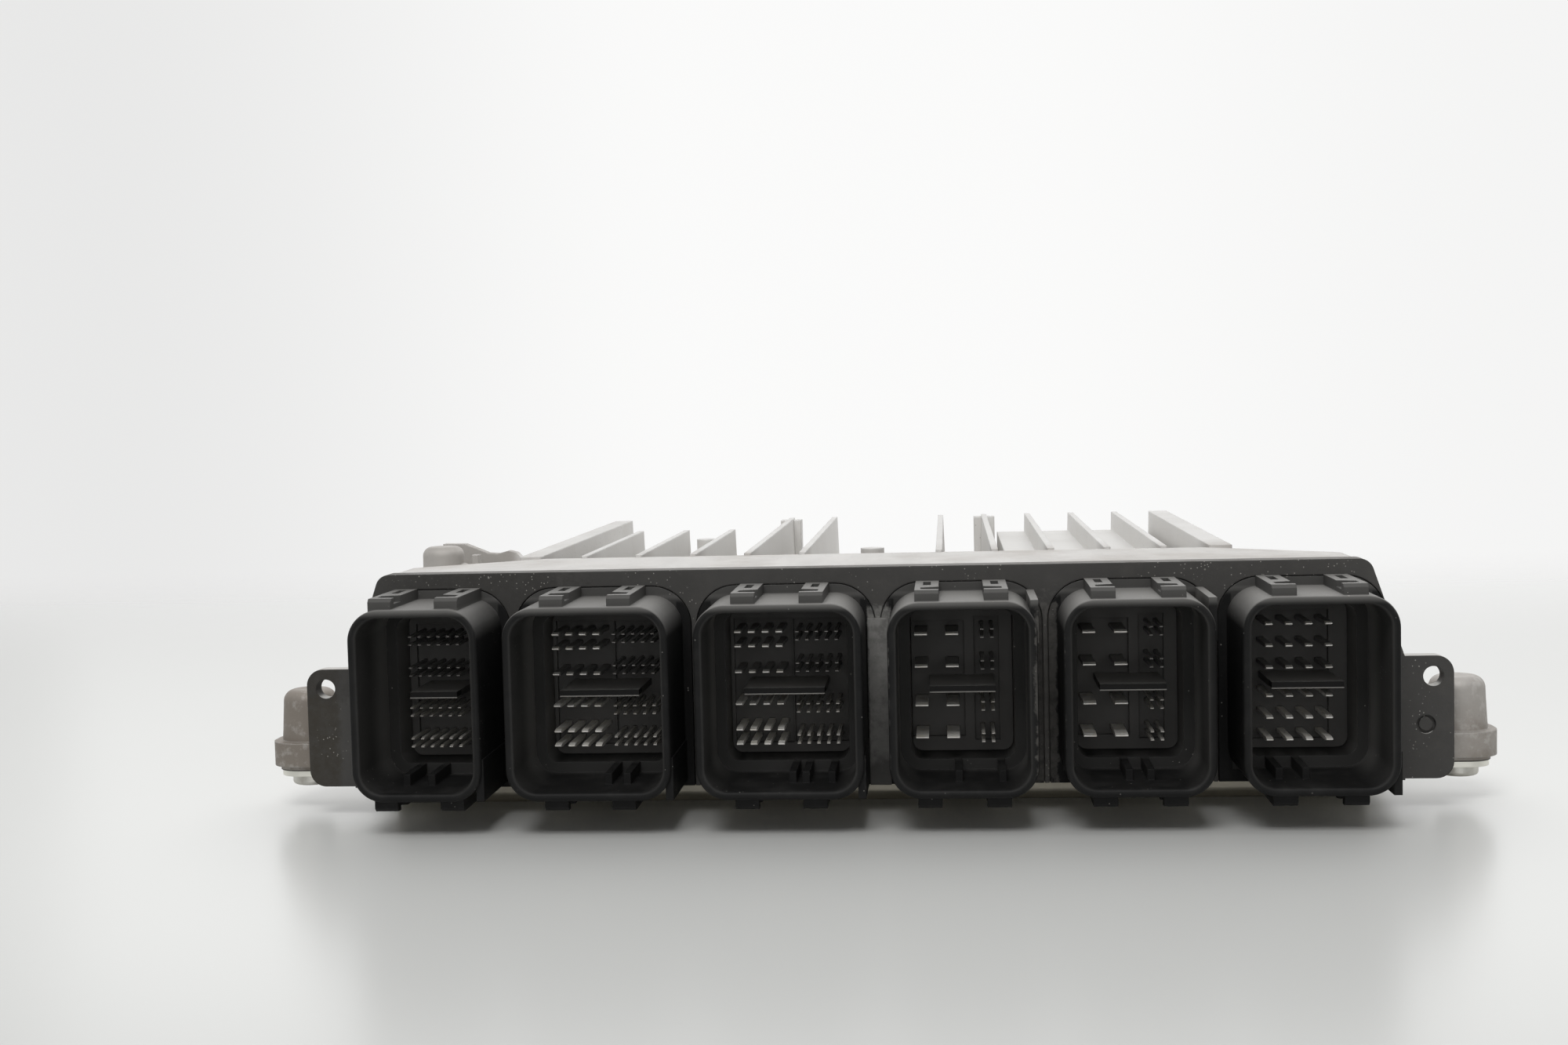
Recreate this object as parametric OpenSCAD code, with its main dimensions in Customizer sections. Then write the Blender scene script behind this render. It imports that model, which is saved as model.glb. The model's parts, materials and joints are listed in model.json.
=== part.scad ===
// Engine control unit with a finned cast housing, a pressed base pan and a row of six plug sockets.
// The unit stands on its base pan: X runs along the socket row, -Y is the plug side, +Z is up.

/* [Housing] */
// Depth of the unit from the socket rims to the rear edge of the base flange
unit_d = 167; // [150:1:190]
// Height of the lid's top above the sockets
lid_rise = 4.6; // [3.8:0.1:7]
// Distance by which the lid's sides lean in towards the top
lid_lean = 6; // [5:0.1:6.2]
// Distance from the socket row to the lid's side walls
lid_margin = 5.2; // [5.1:0.1:6.2]
// Height of the leaning part of the lid's side walls
lean_h = 17.6; // [14:0.2:21]
// Distance between the last contact tails and the lid's rear wall
lid_rear_gap = 2.3; // [1:0.1:5]
// Wall thickness of the casting
cast_wall = 2.8; // [2:0.1:3.2]
// Distance of the low deck below the lid's top
deck_drop = 18.6; // [15.6:0.2:19.6]
// Distance of the raised deck over the tall parts below the lid's top
plateau_drop = 4.2; // [2.6:0.2:6]
// Corner radius of the casting in plan
cast_r = 6; // [4:0.5:8]
// Radius along the lid's upper side edges
lid_edge_r = 4.5; // [3:0.1:5]
// Radius of the lid's rear corners in plan
lid_rear_r = 9; // [7:0.5:12]
// Distance of the casting's rear wall in front of the base flange's edge
rear_step = 2; // [1.5:0.1:3]
// Slope of the lid's rear corners, in degrees
corner_slope = 6.5; // [3:0.5:7]
// Direction in plan of the edge of the sloping corners, in degrees
corner_turn = 36.4; // [32:0.1:40]
// Distance of the sloping corners from the lid's sides, along the lid's rear edge
corner_w = 31.3; // [26:0.1:33]

/* [Fins] */
// Height of the fin tops above the lid's top
fin_rise = 0.4; // [0.2:0.1:4]
// Pitch of the cooling fins
fin_pitch = 11; // [10.8:0.1:11.2]
// Offset of the innermost fin from the middle of the open channel
fin_start = 13.6; // [12:0.2:14]
// Thickness of a fin at its top
fin_tip_t = 1.3; // [0.8:0.1:2]
// Thickness of a fin at its foot
fin_foot_t = 2.4; // [1.6:0.1:3]
// Thickness of the two outermost fins
fin_outer_t = 4.4; // [3:0.2:6]
// Length of the short fins, from the lid
fin_short_l = 73; // [50:1:90]
// Width of the ejector post at the end of a long fin
fin_post_w = 5.2; // [4:0.2:6]
// Height by which the ejector posts stay below the fin tops
fin_post_drop = 0.4; // [0.2:0.1:2]
// Radius of the round ejector pegs
peg_r = 2.4; // [1.8:0.1:3]
// Place of the rear peg in fin pitches from the innermost fin
rear_peg_k = 2.6; // [2.3:0.1:2.7]
// Distance of the rear peg behind the short fins
rear_peg_d = 3; // [2.6:0.1:5]
// Height by which the rear peg stays below the fin tops
rear_peg_drop = 2.4; // [1:0.1:4]
// Distance of the middle peg behind the lid
front_peg_d = 11; // [8:0.5:14]
// Height by which the middle peg stays below the fin tops
front_peg_drop = 0.2; // [0.1:0.1:1]

/* [Lugs] */
// Distance of the lug screws outside the lid's side walls
lug_reach = 12; // [10.5:0.1:14]
// Gap between the frame's back and the feet of the front lugs
lug_gap = 0.4; // [0.2:0.1:4]
// Distance of the rear lug on the right in front of the base flange's rear edge
lug_rear_d = 16; // [12:0.5:24]
// Distance of the tower lug in front of the base flange's rear edge
tower_rear_d = 33.5; // [30:0.5:38]
// Half width of the lug's foot
lug_half = 6.7; // [6.6:0.1:8]
// Radius of the lug's boss
boss_r = 5.7; // [5.4:0.1:6.4]
// Draft of a boss from its foot to its top
boss_draft = 0.7; // [0.3:0.1:1]
// Corner radius of the lug's foot
foot_r = 5.5; // [4:0.1:6.4]
// Rounding at the top of a boss
dome_r = 2.2; // [1:0.1:2.6]
// Thickness of the web between the tower and the casting
web_t = 3; // [2:0.1:4]
// Distance of the thin rib on the web from the tower's middle
web_rib_in = 7.4; // [6.5:0.1:8.5]
// Thickness of the thin rib on the web
web_rib_t = 1.6; // [1:0.1:2.4]
// Height of the lug's foot above the seam
lug_foot_h = 5.5; // [4:0.1:8]
// Height of the narrow step under the lug's foot
foot_step_h = 0.9; // [0.5:0.1:1.5]
// Distance by which that step stays inside the foot's outline
foot_step_in = 1.1; // [0.6:0.1:1.4]
// Height of a low lug above the seam
boss_h = 15.2; // [13.6:0.1:17]
// Height of the tower lug at the rear left above the seam
tower_h = 34.9; // [30:0.1:36]
// Radius of the base screw's shank
screw_r = 2; // [1.5:0.1:2.5]
// Radius of the base screw's head
screw_head_r = 3.8; // [3.6:0.1:5]
// Height of the base screw's head
screw_head_h = 2.1; // [1.4:0.1:2.6]
// Length of the base screw's shank
screw_l = 12; // [9:0.5:14]
// Free depth past the tip of a base screw
screw_spare = 1; // [0.5:0.1:2]

/* [Base pan] */
// Height of the seam between pan and casting
seam_z = 7.6; // [7:0.1:7.7]
// Thickness of the pan's sheet
pan_t = 1.1; // [0.8:0.1:1.5]
// Width by which the pan's flange stands out of the casting's walls
pan_ledge = 3; // [2:0.1:4]
// Width of the flange on which the casting stands
pan_flange = 6.5; // [5.5:0.1:8]
// Outer bend radius at the bottom of the pan
pan_bend = 2.2; // [1.8:0.1:3]
// Corner radius of the pan's wall
pan_wall_r = 4; // [3.2:0.1:6]
// Half width of the ear under each lug
pan_ear_half = 5.4; // [5.2:0.1:6.6]
// Corner radius of the ears under the lugs
pan_ear_r = 4.5; // [3:0.1:5]
// Gap between the pan's flange and the frame's back
pan_gap = 0.1; // [0.05:0.05:0.3]
// Clearance around the screw shanks
screw_clear = 0.25; // [0.1:0.05:0.5]

/* [Socket frame] */
// Thickness of the frame plate
frame_t = 4.5; // [3.5:0.1:6]
// Lower edge of the frame
frame_low_z = 5.5; // [5.1:0.1:6]
// Corner radius at the top of the frame
frame_r = 2.6; // [2:0.1:4.5]
// Distance by which the ears stand out of the frame's sides
ear_reach = 8.6; // [7.4:0.1:10]
// Height of an ear
ear_h = 22.2; // [19:0.1:26]
// Distance of the ears above the frame's lower edge
ear_low = 0.3; // [0.1:0.1:2]
// Thickness of the ears
ear_t = 3; // [2:0.1:4]
// Corner radius of the ears
ear_r = 3.1; // [2:0.1:3.5]
// Diameter of the hole in each ear
ear_hole_d = 3.6; // [2.5:0.1:4.2]
// Distance of the hole from the ear's outer edge
ear_hole_in = 3.6; // [3:0.1:4.5]
// Distance of the hole from the ear's upper edge
ear_hole_down = 3.7; // [3:0.1:6]
// Diameter of the locating dimple in the right ear
dimple_d = 3.4; // [2.4:0.1:4]
// Distance of the dimple below the hole
dimple_down = 8.7; // [6:0.1:12]
// Distance of the dimple inwards from the hole
dimple_in = 1.3; // [0.5:0.1:2]
// Depth to which the frame's tongue reaches into the casting
tongue_d = 4; // [2:0.2:4.6]
// Clearance between the tongue and the casting
tongue_clear = 0.3; // [0.1:0.05:0.5]
// Wall thickness of the tongue
tongue_t = 2.2; // [1.6:0.1:2.6]
// Width of the seal cords
seal_w = 1.4; // [1:0.1:1.6]
// Height of the seal cords
seal_h = 0.8; // [0.5:0.05:0.9]
// Clearance around the seal cords
seal_clear = 0.05; // [0.02:0.01:0.1]
// Distance of the base seal behind the frame
seal_front_d = 1.2; // [1:0.1:1.6]

/* [Sockets] */
// Distance that the sockets stand out of the frame
socket_reach = 19.3; // [16:0.1:23]
// Height of a socket
socket_h = 34.4; // [34:0.1:34.8]
// Distance of the sockets above the frame's lower edge
socket_low = 1.1; // [0.8:0.1:1.4]
// Width of the signal socket
signal_socket_w = 23.4; // [22.5:0.1:24]
// Width of the two mixed sockets
mixed_socket_w = 29.5; // [28.8:0.1:30]
// Width of the two blade sockets
blade_socket_w = 25.9; // [25:0.1:26.4]
// Width of the power socket
power_socket_w = 26.4; // [25:0.1:26.6]
// Gap between neighbouring sockets
socket_gap = 4.4; // [4:0.1:4.4]
// Sideways shift of the whole row
row_shift = 0.3; // [0:0.1:0.3]
// Wall thickness of a socket
socket_wall = 1.5; // [1.2:0.1:1.8]
// Outer corner radius of a socket
socket_r = 5.6; // [5.2:0.1:6.2]
// Width of the collar around a socket's foot
collar_w = 1.6; // [1.2:0.1:1.7]
// Thickness of the collar
collar_t = 1.2; // [0.8:0.1:2]
// Gap around the collar in the frame
collar_gap = 0.2; // [0.1:0.05:0.25]
// Thickness of the bridge over the collars between the two middle sockets
bridge_t = 0.8; // [0.5:0.1:1.5]
// Gap between the bridge and the walls of the sockets beside it
bridge_gap = 0.25; // [0.15:0.05:0.5]
// Height of the sockets' top above the bridge's flat top
bridge_drop = 4.7; // [3:0.1:8]
// Wall thickness of the neck that passes through the frame
neck_wall = 1.3; // [1:0.1:1.5]
// Step from the socket's outside in to the neck
neck_step = 2.2; // [2.1:0.05:2.4]
// Clearance around the neck
neck_clear = 0.15; // [0.1:0.05:0.3]
// Depth of the socket floor behind the frame face
floor_d = 8; // [7:0.2:9]
// Thickness of the contact plate
plate_t = 3; // [2:0.2:4]
// Clearance of the contact plate in the neck
plate_clear = 0.1; // [0.05:0.05:0.2]

/* [Socket details] */
// Width of a latch block
latch_w = 4.2; // [3.4:0.1:5]
// Height of a latch block above the socket wall
latch_h = 1.9; // [1.2:0.1:2.4]
// Half spacing of a socket's two latch blocks
latch_dx = 6; // [5:0.1:6.2]
// Distance of the latch blocks behind the rim
latch_back = 1.5; // [0.8:0.1:4]
// Width of the wedge slit at its open side
slit_w = 1.8; // [1.2:0.1:2.2]
// Distance of the slit from the latch block's front
slit_in = 2.6; // [2:0.1:5]
// Width of the pocket in a latch block
pocket_w = 1.3; // [0.8:0.1:2]
// Length of the pocket in a latch block
pocket_l = 4.5; // [3:0.1:6]
// Distance of the pocket from the latch block's back
pocket_in = 2.4; // [1.5:0.1:3]
// Depth of the slits and pockets
pocket_d = 1; // [0.6:0.1:1.4]
// Chamfer along the front edge of a latch block
latch_chamfer = 0.6; // [0.3:0.1:1]
// Thickness of the corner key
key_t = 1.4; // [1:0.1:1.8]
// Height by which the corner key stands out of the socket's side
key_proud = 0.25; // [0.15:0.05:0.4]
// Height of the corner key
key_h = 7.5; // [6.5:0.1:10]
// Distance of the corner key behind the rim
key_back = 1; // [0.8:0.1:4]
// Thickness of the guide tongue between the contact rows
guide_t = 1.2; // [0.8:0.1:1.6]
// Distance of the guide tongue's edge behind the rim
guide_back = 13.5; // [11:0.1:15.5]
// Width of a coding rib
rib_w = 1.3; // [0.8:0.1:1.8]
// Height of a coding rib
rib_h = 2; // [1:0.1:2.6]
// Distance of the coding ribs behind the rim
rib_back = 8; // [6:0.1:12]
// Margin of the sunk field around the contacts
field_margin = 1.1; // [0.8:0.1:1.3]
// Depth of the sunk contact field
field_d = 1; // [0.5:0.1:1.4]

/* [Contacts] */
// Distance of the contact tips behind the rim
tip_back = 17.5; // [16.5:0.1:18.5]
// Pitch of the signal pins
signal_pitch = 1.8; // [1.6:0.05:1.9]
// Width of a signal pin
signal_w = 0.6; // [0.4:0.05:0.7]
// Pitch of the mixed sockets' load pins
load_pitch = 2.54; // [2.3:0.02:2.6]
// Pitch of the power socket's load pins
power_pitch = 3.5; // [3.2:0.05:3.7]
// Width of a load pin
load_w = 1.2; // [0.9:0.05:1.4]
// Pitch of the blades
blade_pitch = 5.65; // [5:0.05:6]
// Width of a blade
blade_w = 2.3; // [2:0.05:2.6]
// Thickness of a signal pin
signal_t = 0.5; // [0.4:0.05:0.6]
// Thickness of a load pin or blade
load_t = 0.7; // [0.5:0.05:0.8]
// Clearance of a contact in its plate
contact_clear = 0.05; // [0.02:0.01:0.1]
// Spacing of the contact tails on the board
tail_pitch = 1.7; // [1.4:0.05:1.75]
// Distance of the first row of tails from the board's front edge
tail_in = 2; // [1.5:0.1:3]
// Sideways place of the signal socket's pins
signal_mid_x = -0.8; // [-1:0.05:1]
// Place of the mixed sockets' load pins, as a share of the contact plate's half width
mixed_load_share = -0.444; // [-0.46:0.002:-0.43]
// Place of the mixed sockets' signal pins, as a share of the contact plate's half width
mixed_signal_share = 0.516; // [0.5:0.002:0.53]
// Distance of the blades from the contact plate's edge
blade_side_gap = 0.8; // [0.5:0.1:1.2]
// Place of the blade sockets' signal pins, as a share of the contact plate's half width
blade_signal_share = 0.492; // [0.48:0.002:0.54]
// Sideways place of the power socket's pins
power_mid_x = -0.75; // [-1:0.05:1]

/* [Circuit board] */
// Distance of the board's upper face below the sockets' middle
board_drop = 12.2; // [11.6:0.1:12.8]
// Thickness of the board
board_t = 1.6; // [1.2:0.1:2]
// Gap between the board and the casting's side walls
board_side_gap = 5.7; // [3.5:0.1:8]
// Radius of the posts that carry the board
post_r = 3; // [2.4:0.1:3.6]
// Distance of the outer posts from the board's edges
post_in = 6; // [5:0.5:8]
// Distance of the front posts behind the lid
post_front_d = 4; // [3.5:0.5:5]
// Gap between the contact plates and the board
board_front_gap = 1; // [0.5:0.1:2]
// Gap between the board and the casting's rear wall
board_rear_gap = 4; // [3:0.5:6]
// Radius of the board screw's shank
board_screw_r = 1.2; // [0.9:0.05:1.4]
// Radius of the board screw's head
board_head_r = 2.6; // [2:0.1:3]
// Height of the board screw's head
board_head_h = 1.8; // [1:0.1:2.2]
// Length of the board screw's shank
board_screw_l = 7; // [5:0.5:9]
// Thickness of the processor
processor_h = 2.6; // [1.5:0.1:4]
// Edge length of the processor
processor_w = 29; // [20:1:32]
// Thickness of a thermal pad
pad_t = 0.8; // [0.4:0.1:2]
// Edge length of the memory chip
memory_w = 14; // [10:1:18]
// Height of the memory chip and driver chips
chip_h = 2.2; // [1:0.1:4]
// Edge length of a driver chip
driver_w = 12; // [8:1:14]
// Distance of the first driver chip from the board's left edge
driver_in = 22; // [18:0.5:24]
// Pitch of the driver chips
driver_pitch = 17; // [15.5:0.5:18]
// Distance of the driver chips behind the lid
driver_depth = 24; // [20:0.5:28]
// Sideways place of the processor
processor_x = -40; // [-44:0.5:-36]
// Sideways place of the memory chip
memory_x = -10; // [-12:0.5:-8]
// Distance of the processor and the memory chip behind the lid
logic_depth = 58; // [54:0.5:62]
// Diameter of a buffer capacitor
capacitor_d = 12.5; // [10:0.5:13.5]
// Height of a buffer capacitor
capacitor_h = 24; // [12:1:25]
// Gap between neighbouring capacitors across the unit
capacitor_gap_x = 2; // [1:0.1:3]
// Gap between neighbouring capacitors along the unit
capacitor_gap_y = 4; // [2:0.1:5]
// Distance of the first capacitors behind the lid
capacitor_depth = 28; // [24:0.5:30]
// Edge length of a coil
coil_w = 13; // [10:0.5:13.5]
// Height of a coil
coil_h = 9; // [5:0.5:11]
// Gap between the coils
coil_gap = 3; // [1:0.1:3.4]
// Distance of the coils behind the lid
coil_depth = 78; // [76:0.5:82]
// Diameter of the air pressure sensor
sensor_d = 9; // [6:0.5:12]
// Height of the air pressure sensor
sensor_h = 6; // [4:0.5:10]
// Distance of the sensor from the board's left edge
sensor_in = 22; // [18:0.5:26]
// Distance of the sensor behind the lid
sensor_depth = 84; // [80:0.5:88]

/* [Hidden] */
$fn = 48;
eps = 0.01;
rim_y = -unit_d / 2;
rear_y = unit_d / 2;
face_y = rim_y + socket_reach;
frame_back_y = face_y + frame_t;
cast_front_y = frame_back_y;
cast_back_y = rear_y - rear_step;

// Sockets from left to right: width, guide width, rib offsets, key corner (1 up, -1 down)
socket_w = [signal_socket_w, mixed_socket_w, mixed_socket_w, blade_socket_w, blade_socket_w, power_socket_w];
guide_w = [8.8, 14.6, 14.6, 11.8, 11.8, 12.6];
rib_x = [[-4, 0.6], [2.2, 5.6], [1.6, 4, 8.6], [-0.9, 6.8], [-1.4, 2.4], [-6, -1.4]];
key_side = [-1, -1, -1, 1, 1, -1];
function total(list, n) = n == 0 ? 0 : list[n - 1] + total(list, n - 1);
row_w = total(socket_w, len(socket_w)) + socket_gap * (len(socket_w) - 1);
socket_x = [for (i = [0:len(socket_w) - 1])
    row_shift - row_w / 2 + total(socket_w, i) + socket_gap * i + socket_w[i] / 2];
socket_low_z = frame_low_z + socket_low;
socket_mid_z = socket_low_z + socket_h / 2;
floor_y = face_y + floor_d;
plate_back_y = floor_y + plate_t;
tip_y = rim_y + tip_back;

// Contact rows, as heights from the socket's middle
signal_rows = [-10.3, -8.8, -4.5, -3, 3, 4.5, 8.8, 10.3];
mixed_rows = [-10.35, -7.7, -2.95, 2.95, 7.7, 10.35];
blade_rows = [-9.45, -3.55, 3.55, 9.45];
power_rows = [-10.45, -6.5, -2.55, 2.55, 6.5, 10.45];
function plate_half(w) = w / 2 - neck_step - neck_wall - plate_clear;
mixed_load_mid_x = mixed_load_share * plate_half(mixed_socket_w);
mixed_signal_mid_x = mixed_signal_share * plate_half(mixed_socket_w);
blade_mid_x = blade_side_gap - plate_half(blade_socket_w) + (blade_pitch + blade_w) / 2;
blade_signal_mid_x = blade_signal_share * plate_half(blade_socket_w);
signal_cols = [for (i = [0:5]) signal_mid_x + (i - 2.5) * signal_pitch];
mixed_cols = [for (i = [0:3]) mixed_load_mid_x + (i - 1.5) * load_pitch];
mixed_signal_cols = [for (i = [0:4]) mixed_signal_mid_x + (i - 2) * signal_pitch];
blade_cols = [for (i = [0:1]) blade_mid_x + (i - 0.5) * blade_pitch];
blade_signal_cols = [for (i = [0:1]) blade_signal_mid_x + (i - 0.5) * signal_pitch];
power_cols = [for (i = [0:3]) power_mid_x + (i - 1.5) * power_pitch];
signal_group = [signal_cols, signal_rows, signal_w, signal_t];
mixed_group = [mixed_cols, mixed_rows, load_w, load_t];
mixed_signal_group = [mixed_signal_cols, signal_rows, signal_w, signal_t];
blade_group = [blade_cols, blade_rows, blade_w, load_t];
blade_signal_group = [blade_signal_cols, signal_rows, signal_w, signal_t];
power_group = [power_cols, power_rows, load_w, load_t];

// Lid, decks and fins around the sockets
board_z = socket_mid_z - board_drop;
board_front_y = plate_back_y + board_front_gap;
last_tail_y = board_front_y + tail_in + (len(signal_rows) - 1) * tail_pitch + signal_t;
lid_back_y = last_tail_y + lid_rear_gap + cast_wall;
lid_d = lid_back_y - cast_front_y;
lid_z = socket_low_z + socket_h + lid_rise;
lid_low_hw = row_w / 2 + lid_margin;
lid_top_hw = lid_low_hw - lid_lean;
shoulder_z = lid_z - lean_h;
deck_z = lid_z - deck_drop;
plateau_z = lid_z - plateau_drop;
fin_z = lid_z + fin_rise;
ear_hw = lid_low_hw + ear_reach;
ear_low_z = frame_low_z + ear_low;
ear_z = ear_low_z + ear_h;

// Lugs
lug_x = lid_low_hw + lug_reach;
boss_z = seam_z + boss_h;
tower_z = seam_z + tower_h;
lug_front_y = frame_back_y + lug_gap + lug_half;
lug_rear_y = rear_y - lug_rear_d;
lug_spots = [[lug_x, lug_front_y, boss_z], [-lug_x, lug_front_y, boss_z],
             [lug_x, lug_rear_y, boss_z], [-lug_x, rear_y - tower_rear_d, tower_z]];
screw_hole_d = screw_l - pan_t + screw_spare;

// Inner outline of the lid
side_slope = (lid_low_hw - lid_top_hw) / (lid_z - shoulder_z);
roof_z = lid_z - cast_wall;
inner_low_hw = lid_low_hw - cast_wall;
inner_top_hw = inner_low_hw - side_slope * (roof_z - shoulder_z);

// Seal between pan and casting
seam_seal_hw = lid_low_hw - cast_wall / 2;
seam_front_y = frame_back_y + seal_front_d;
seam_back_y = cast_back_y - cast_wall / 2 + seal_w / 2;
seam_seal_r = cast_r - cast_wall / 2 + seal_w / 2;
pan_hw = lid_low_hw + pan_ledge;
pan_r = pan_wall_r + pan_flange;
pan_front_y = frame_back_y + pan_gap;
pan_mid_y = (pan_front_y + rear_y) / 2;
pan_l = rear_y - pan_front_y;

// Circuit board
board_low_z = board_z - board_t;
board_hw = inner_low_hw - board_side_gap;
board_back_y = cast_back_y - cast_wall - board_rear_gap;
board_mid_y = (board_front_y + board_back_y) / 2;
under_deck_z = deck_z - cast_wall;
post_mid_x = 2;
post_spots = [for (x = [post_in - board_hw, post_mid_x, board_hw - post_in])
              for (y = [lid_back_y + post_front_d, board_back_y - post_in]) [x, y]];
// The plateau's sides in fin pitches from the innermost fin, and its front behind the lid
plateau_span = [1.3, 4.6];
plateau_front_d = 8;
plateau_x = [for (k = plateau_span) fin_start + k * fin_pitch];
plateau_y = [lid_back_y + plateau_front_d, cast_back_y];
plateau_mid_x = (plateau_x[0] + plateau_x[1]) / 2;
// Places of the board's parts
driver_spots = [for (i = [0:3]) [driver_in - board_hw + i * driver_pitch, lid_back_y + driver_depth]];
capacitor_step = [capacitor_d + capacitor_gap_x, capacitor_d + capacitor_gap_y];
capacitor_spots = [for (i = [0:1]) for (j = [0:2])
    [plateau_mid_x + (i - 0.5) * capacitor_step[0], lid_back_y + capacitor_depth + j * capacitor_step[1]]];
coil_step = coil_w + coil_gap;
coil_spots = [for (i = [0:1]) [plateau_mid_x + (i - 0.5) * coil_step, lid_back_y + coil_depth]];
processor_spot = [processor_x, lid_back_y + logic_depth];
memory_spot = [memory_x, lid_back_y + logic_depth];
// Hot chips as place, pad width and height of the chip's top
driver_pad_w = driver_w - 3;
processor_pad_w = processor_w - 6;
heat_spots = concat([for (spot = driver_spots) [spot, driver_pad_w, board_z + chip_h]],
                    [[processor_spot, processor_pad_w, board_z + processor_h]]);
sensor_spot = [sensor_in - board_hw, lid_back_y + sensor_depth];

// Rectangle with round corners, centred on the origin
module round_rect(w, h, r) {
    square([w - 2 * r, h], center = true);
    square([w, h - 2 * r], center = true);
    for (x = [-1, 1])
        for (y = [-1, 1])
            translate([x * (w / 2 - r), y * (h / 2 - r)])
                circle(r);
}

// Stretch of an upright outline from y0 back to y1
module along_y(y0, y1) {
    translate([0, y1, 0])
        rotate([90, 0, 0])
            linear_extrude(y1 - y0)
                children();
}

// Profile swept round a rectangle with round corners; the profile's x is counted from the corner's centre
module round_frame(w, d, r) {
    for (a = [0, 180])
        rotate(a) {
            translate([w / 2 - r, 0, 0])
                rotate([90, 0, 0])
                    linear_extrude(d - 2 * r, center = true)
                        children();
            translate([0, d / 2 - r, 0])
                rotate([90, 0, 90])
                    linear_extrude(w - 2 * r, center = true)
                        children();
            translate([w / 2 - r, d / 2 - r, 0])
                rotate_extrude(angle = 90)
                    children();
            translate([-w / 2 + r, d / 2 - r, 0])
                rotate(90)
                    rotate_extrude(angle = 90)
                        children();
        }
}

// Cross outline of the lid: upright to the shoulder, then leaning in to the top
module lid_outline(low_z, top_z, low_hw, top_hw) {
    polygon([[-low_hw, low_z], [low_hw, low_z], [low_hw, shoulder_z],
             [top_hw, top_z], [-top_hw, top_z], [-low_hw, shoulder_z]]);
}

// Lid outline with round upper corners
module round_lid_outline(low_z, top_z, low_hw, top_hw, r) {
    lean = atan2(low_hw - top_hw, top_z - shoulder_z);
    cut = r * tan((90 - lean) / 2);
    side = [sin(lean), -cos(lean)] * cut;
    for (m = [0, 1])
        mirror([m, 0]) {
            polygon([[0, low_z], [low_hw, low_z], [low_hw, shoulder_z],
                     [top_hw + side[0], top_z + side[1]], [top_hw - cut, top_z], [0, top_z]]);
            translate([top_hw - cut, top_z - r])
                circle(r);
        }
}

// Upright outline of a socket, grown by a margin
module socket_outline(i, margin) {
    translate([socket_x[i], socket_mid_z])
        round_rect(socket_w[i] + 2 * margin, socket_h + 2 * margin, socket_r + margin);
}

// Collar outline: the socket's, widened, and carried straight down to a lower edge
module collar_outline(i, margin, low_z) {
    half_w = socket_w[i] / 2 + margin;
    intersection() {
        socket_outline(i, margin);
        translate([socket_x[i] - half_w, socket_mid_z])
            square([2 * half_w, socket_h]);
    }
    translate([socket_x[i] - half_w, low_z])
        square([2 * half_w, socket_mid_z - low_z + eps]);
}

// One cooling fin with a tapered section
module fin(x, length, foot, tip) {
    translate([x, 0, 0])
        along_y(lid_back_y - eps, lid_back_y + length)
            polygon([[-foot / 2, deck_z - eps], [foot / 2, deck_z - eps],
                     [tip / 2, fin_z], [-tip / 2, fin_z]]);
}

// Group of fins on one side; the left group has three short fins
module fin_group(side) {
    full = cast_back_y - lid_back_y;
    for (i = [0:5]) {
        x = side * (fin_start + i * fin_pitch);
        outer = i == 5;
        short = side < 0 && i >= 2 && i <= 4;
        foot = outer ? fin_outer_t + fin_foot_t - fin_tip_t : fin_foot_t;
        fin(x, short ? fin_short_l : full, foot, outer ? fin_outer_t : fin_tip_t);
        if (i == 1)
            translate([x - fin_post_w / 2, cast_back_y - fin_post_w, deck_z - eps])
                cube([fin_post_w, fin_post_w, fin_z - deck_z - fin_post_drop]);
    }
}

// One lug: a foot block, a round boss with a domed top, and webs to the wall
module lug(spot) {
    inner = abs(spot[0]) - lid_low_hw + cast_wall / 2;
    side = sign(spot[0]);
    step_half = lug_half - foot_step_in;
    top_r = boss_r - boss_draft;
    dome_z = spot[2] - seam_z - dome_r;
    translate([spot[0], spot[1], seam_z]) {
        translate([0, 0, foot_step_h])
            linear_extrude(lug_foot_h - foot_step_h)
                round_rect(2 * lug_half, 2 * lug_half, foot_r);
        linear_extrude(lug_foot_h)
            round_rect(2 * step_half, 2 * step_half, foot_r - foot_step_in);
        mirror([side > 0 ? 1 : 0, 0, 0])
            translate([0, -lug_half, foot_step_h])
                cube([inner, 2 * lug_half, lug_foot_h - foot_step_h]);
        mirror([side > 0 ? 1 : 0, 0, 0])
            translate([0, -step_half, 0])
                cube([inner, 2 * step_half, lug_foot_h]);
        rotate_extrude() {
            square([top_r - dome_r, dome_z + dome_r]);
            polygon([[0, foot_step_h], [boss_r, foot_step_h], [top_r, dome_z], [0, dome_z]]);
            translate([top_r - dome_r, dome_z])
                circle(dome_r);
        }
        mirror([side > 0 ? 1 : 0, 0, 0])
            translate([0, -boss_r / 2, 0])
                cube([inner, boss_r, min(spot[2], deck_z) - seam_z - dome_r]);
    }
}

// Sloping web from the tower's top down to the casting's side
module tower_web(spot) {
    end_z = (tower_z + deck_z) / 2;
    start_z = tower_z - dome_r;
    end_x = cast_wall / 2 - lid_low_hw;
    along_y(spot[1] - web_t / 2, spot[1] + web_t / 2)
        polygon([[spot[0], seam_z], [end_x, seam_z], [end_x, end_z], [spot[0], start_z]]);
    // Thin rib that stands on the web
    translate([spot[0] + web_rib_in, spot[1] - web_t / 2, end_z])
        cube([web_rib_t, web_t, start_z - end_z]);
}

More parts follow.
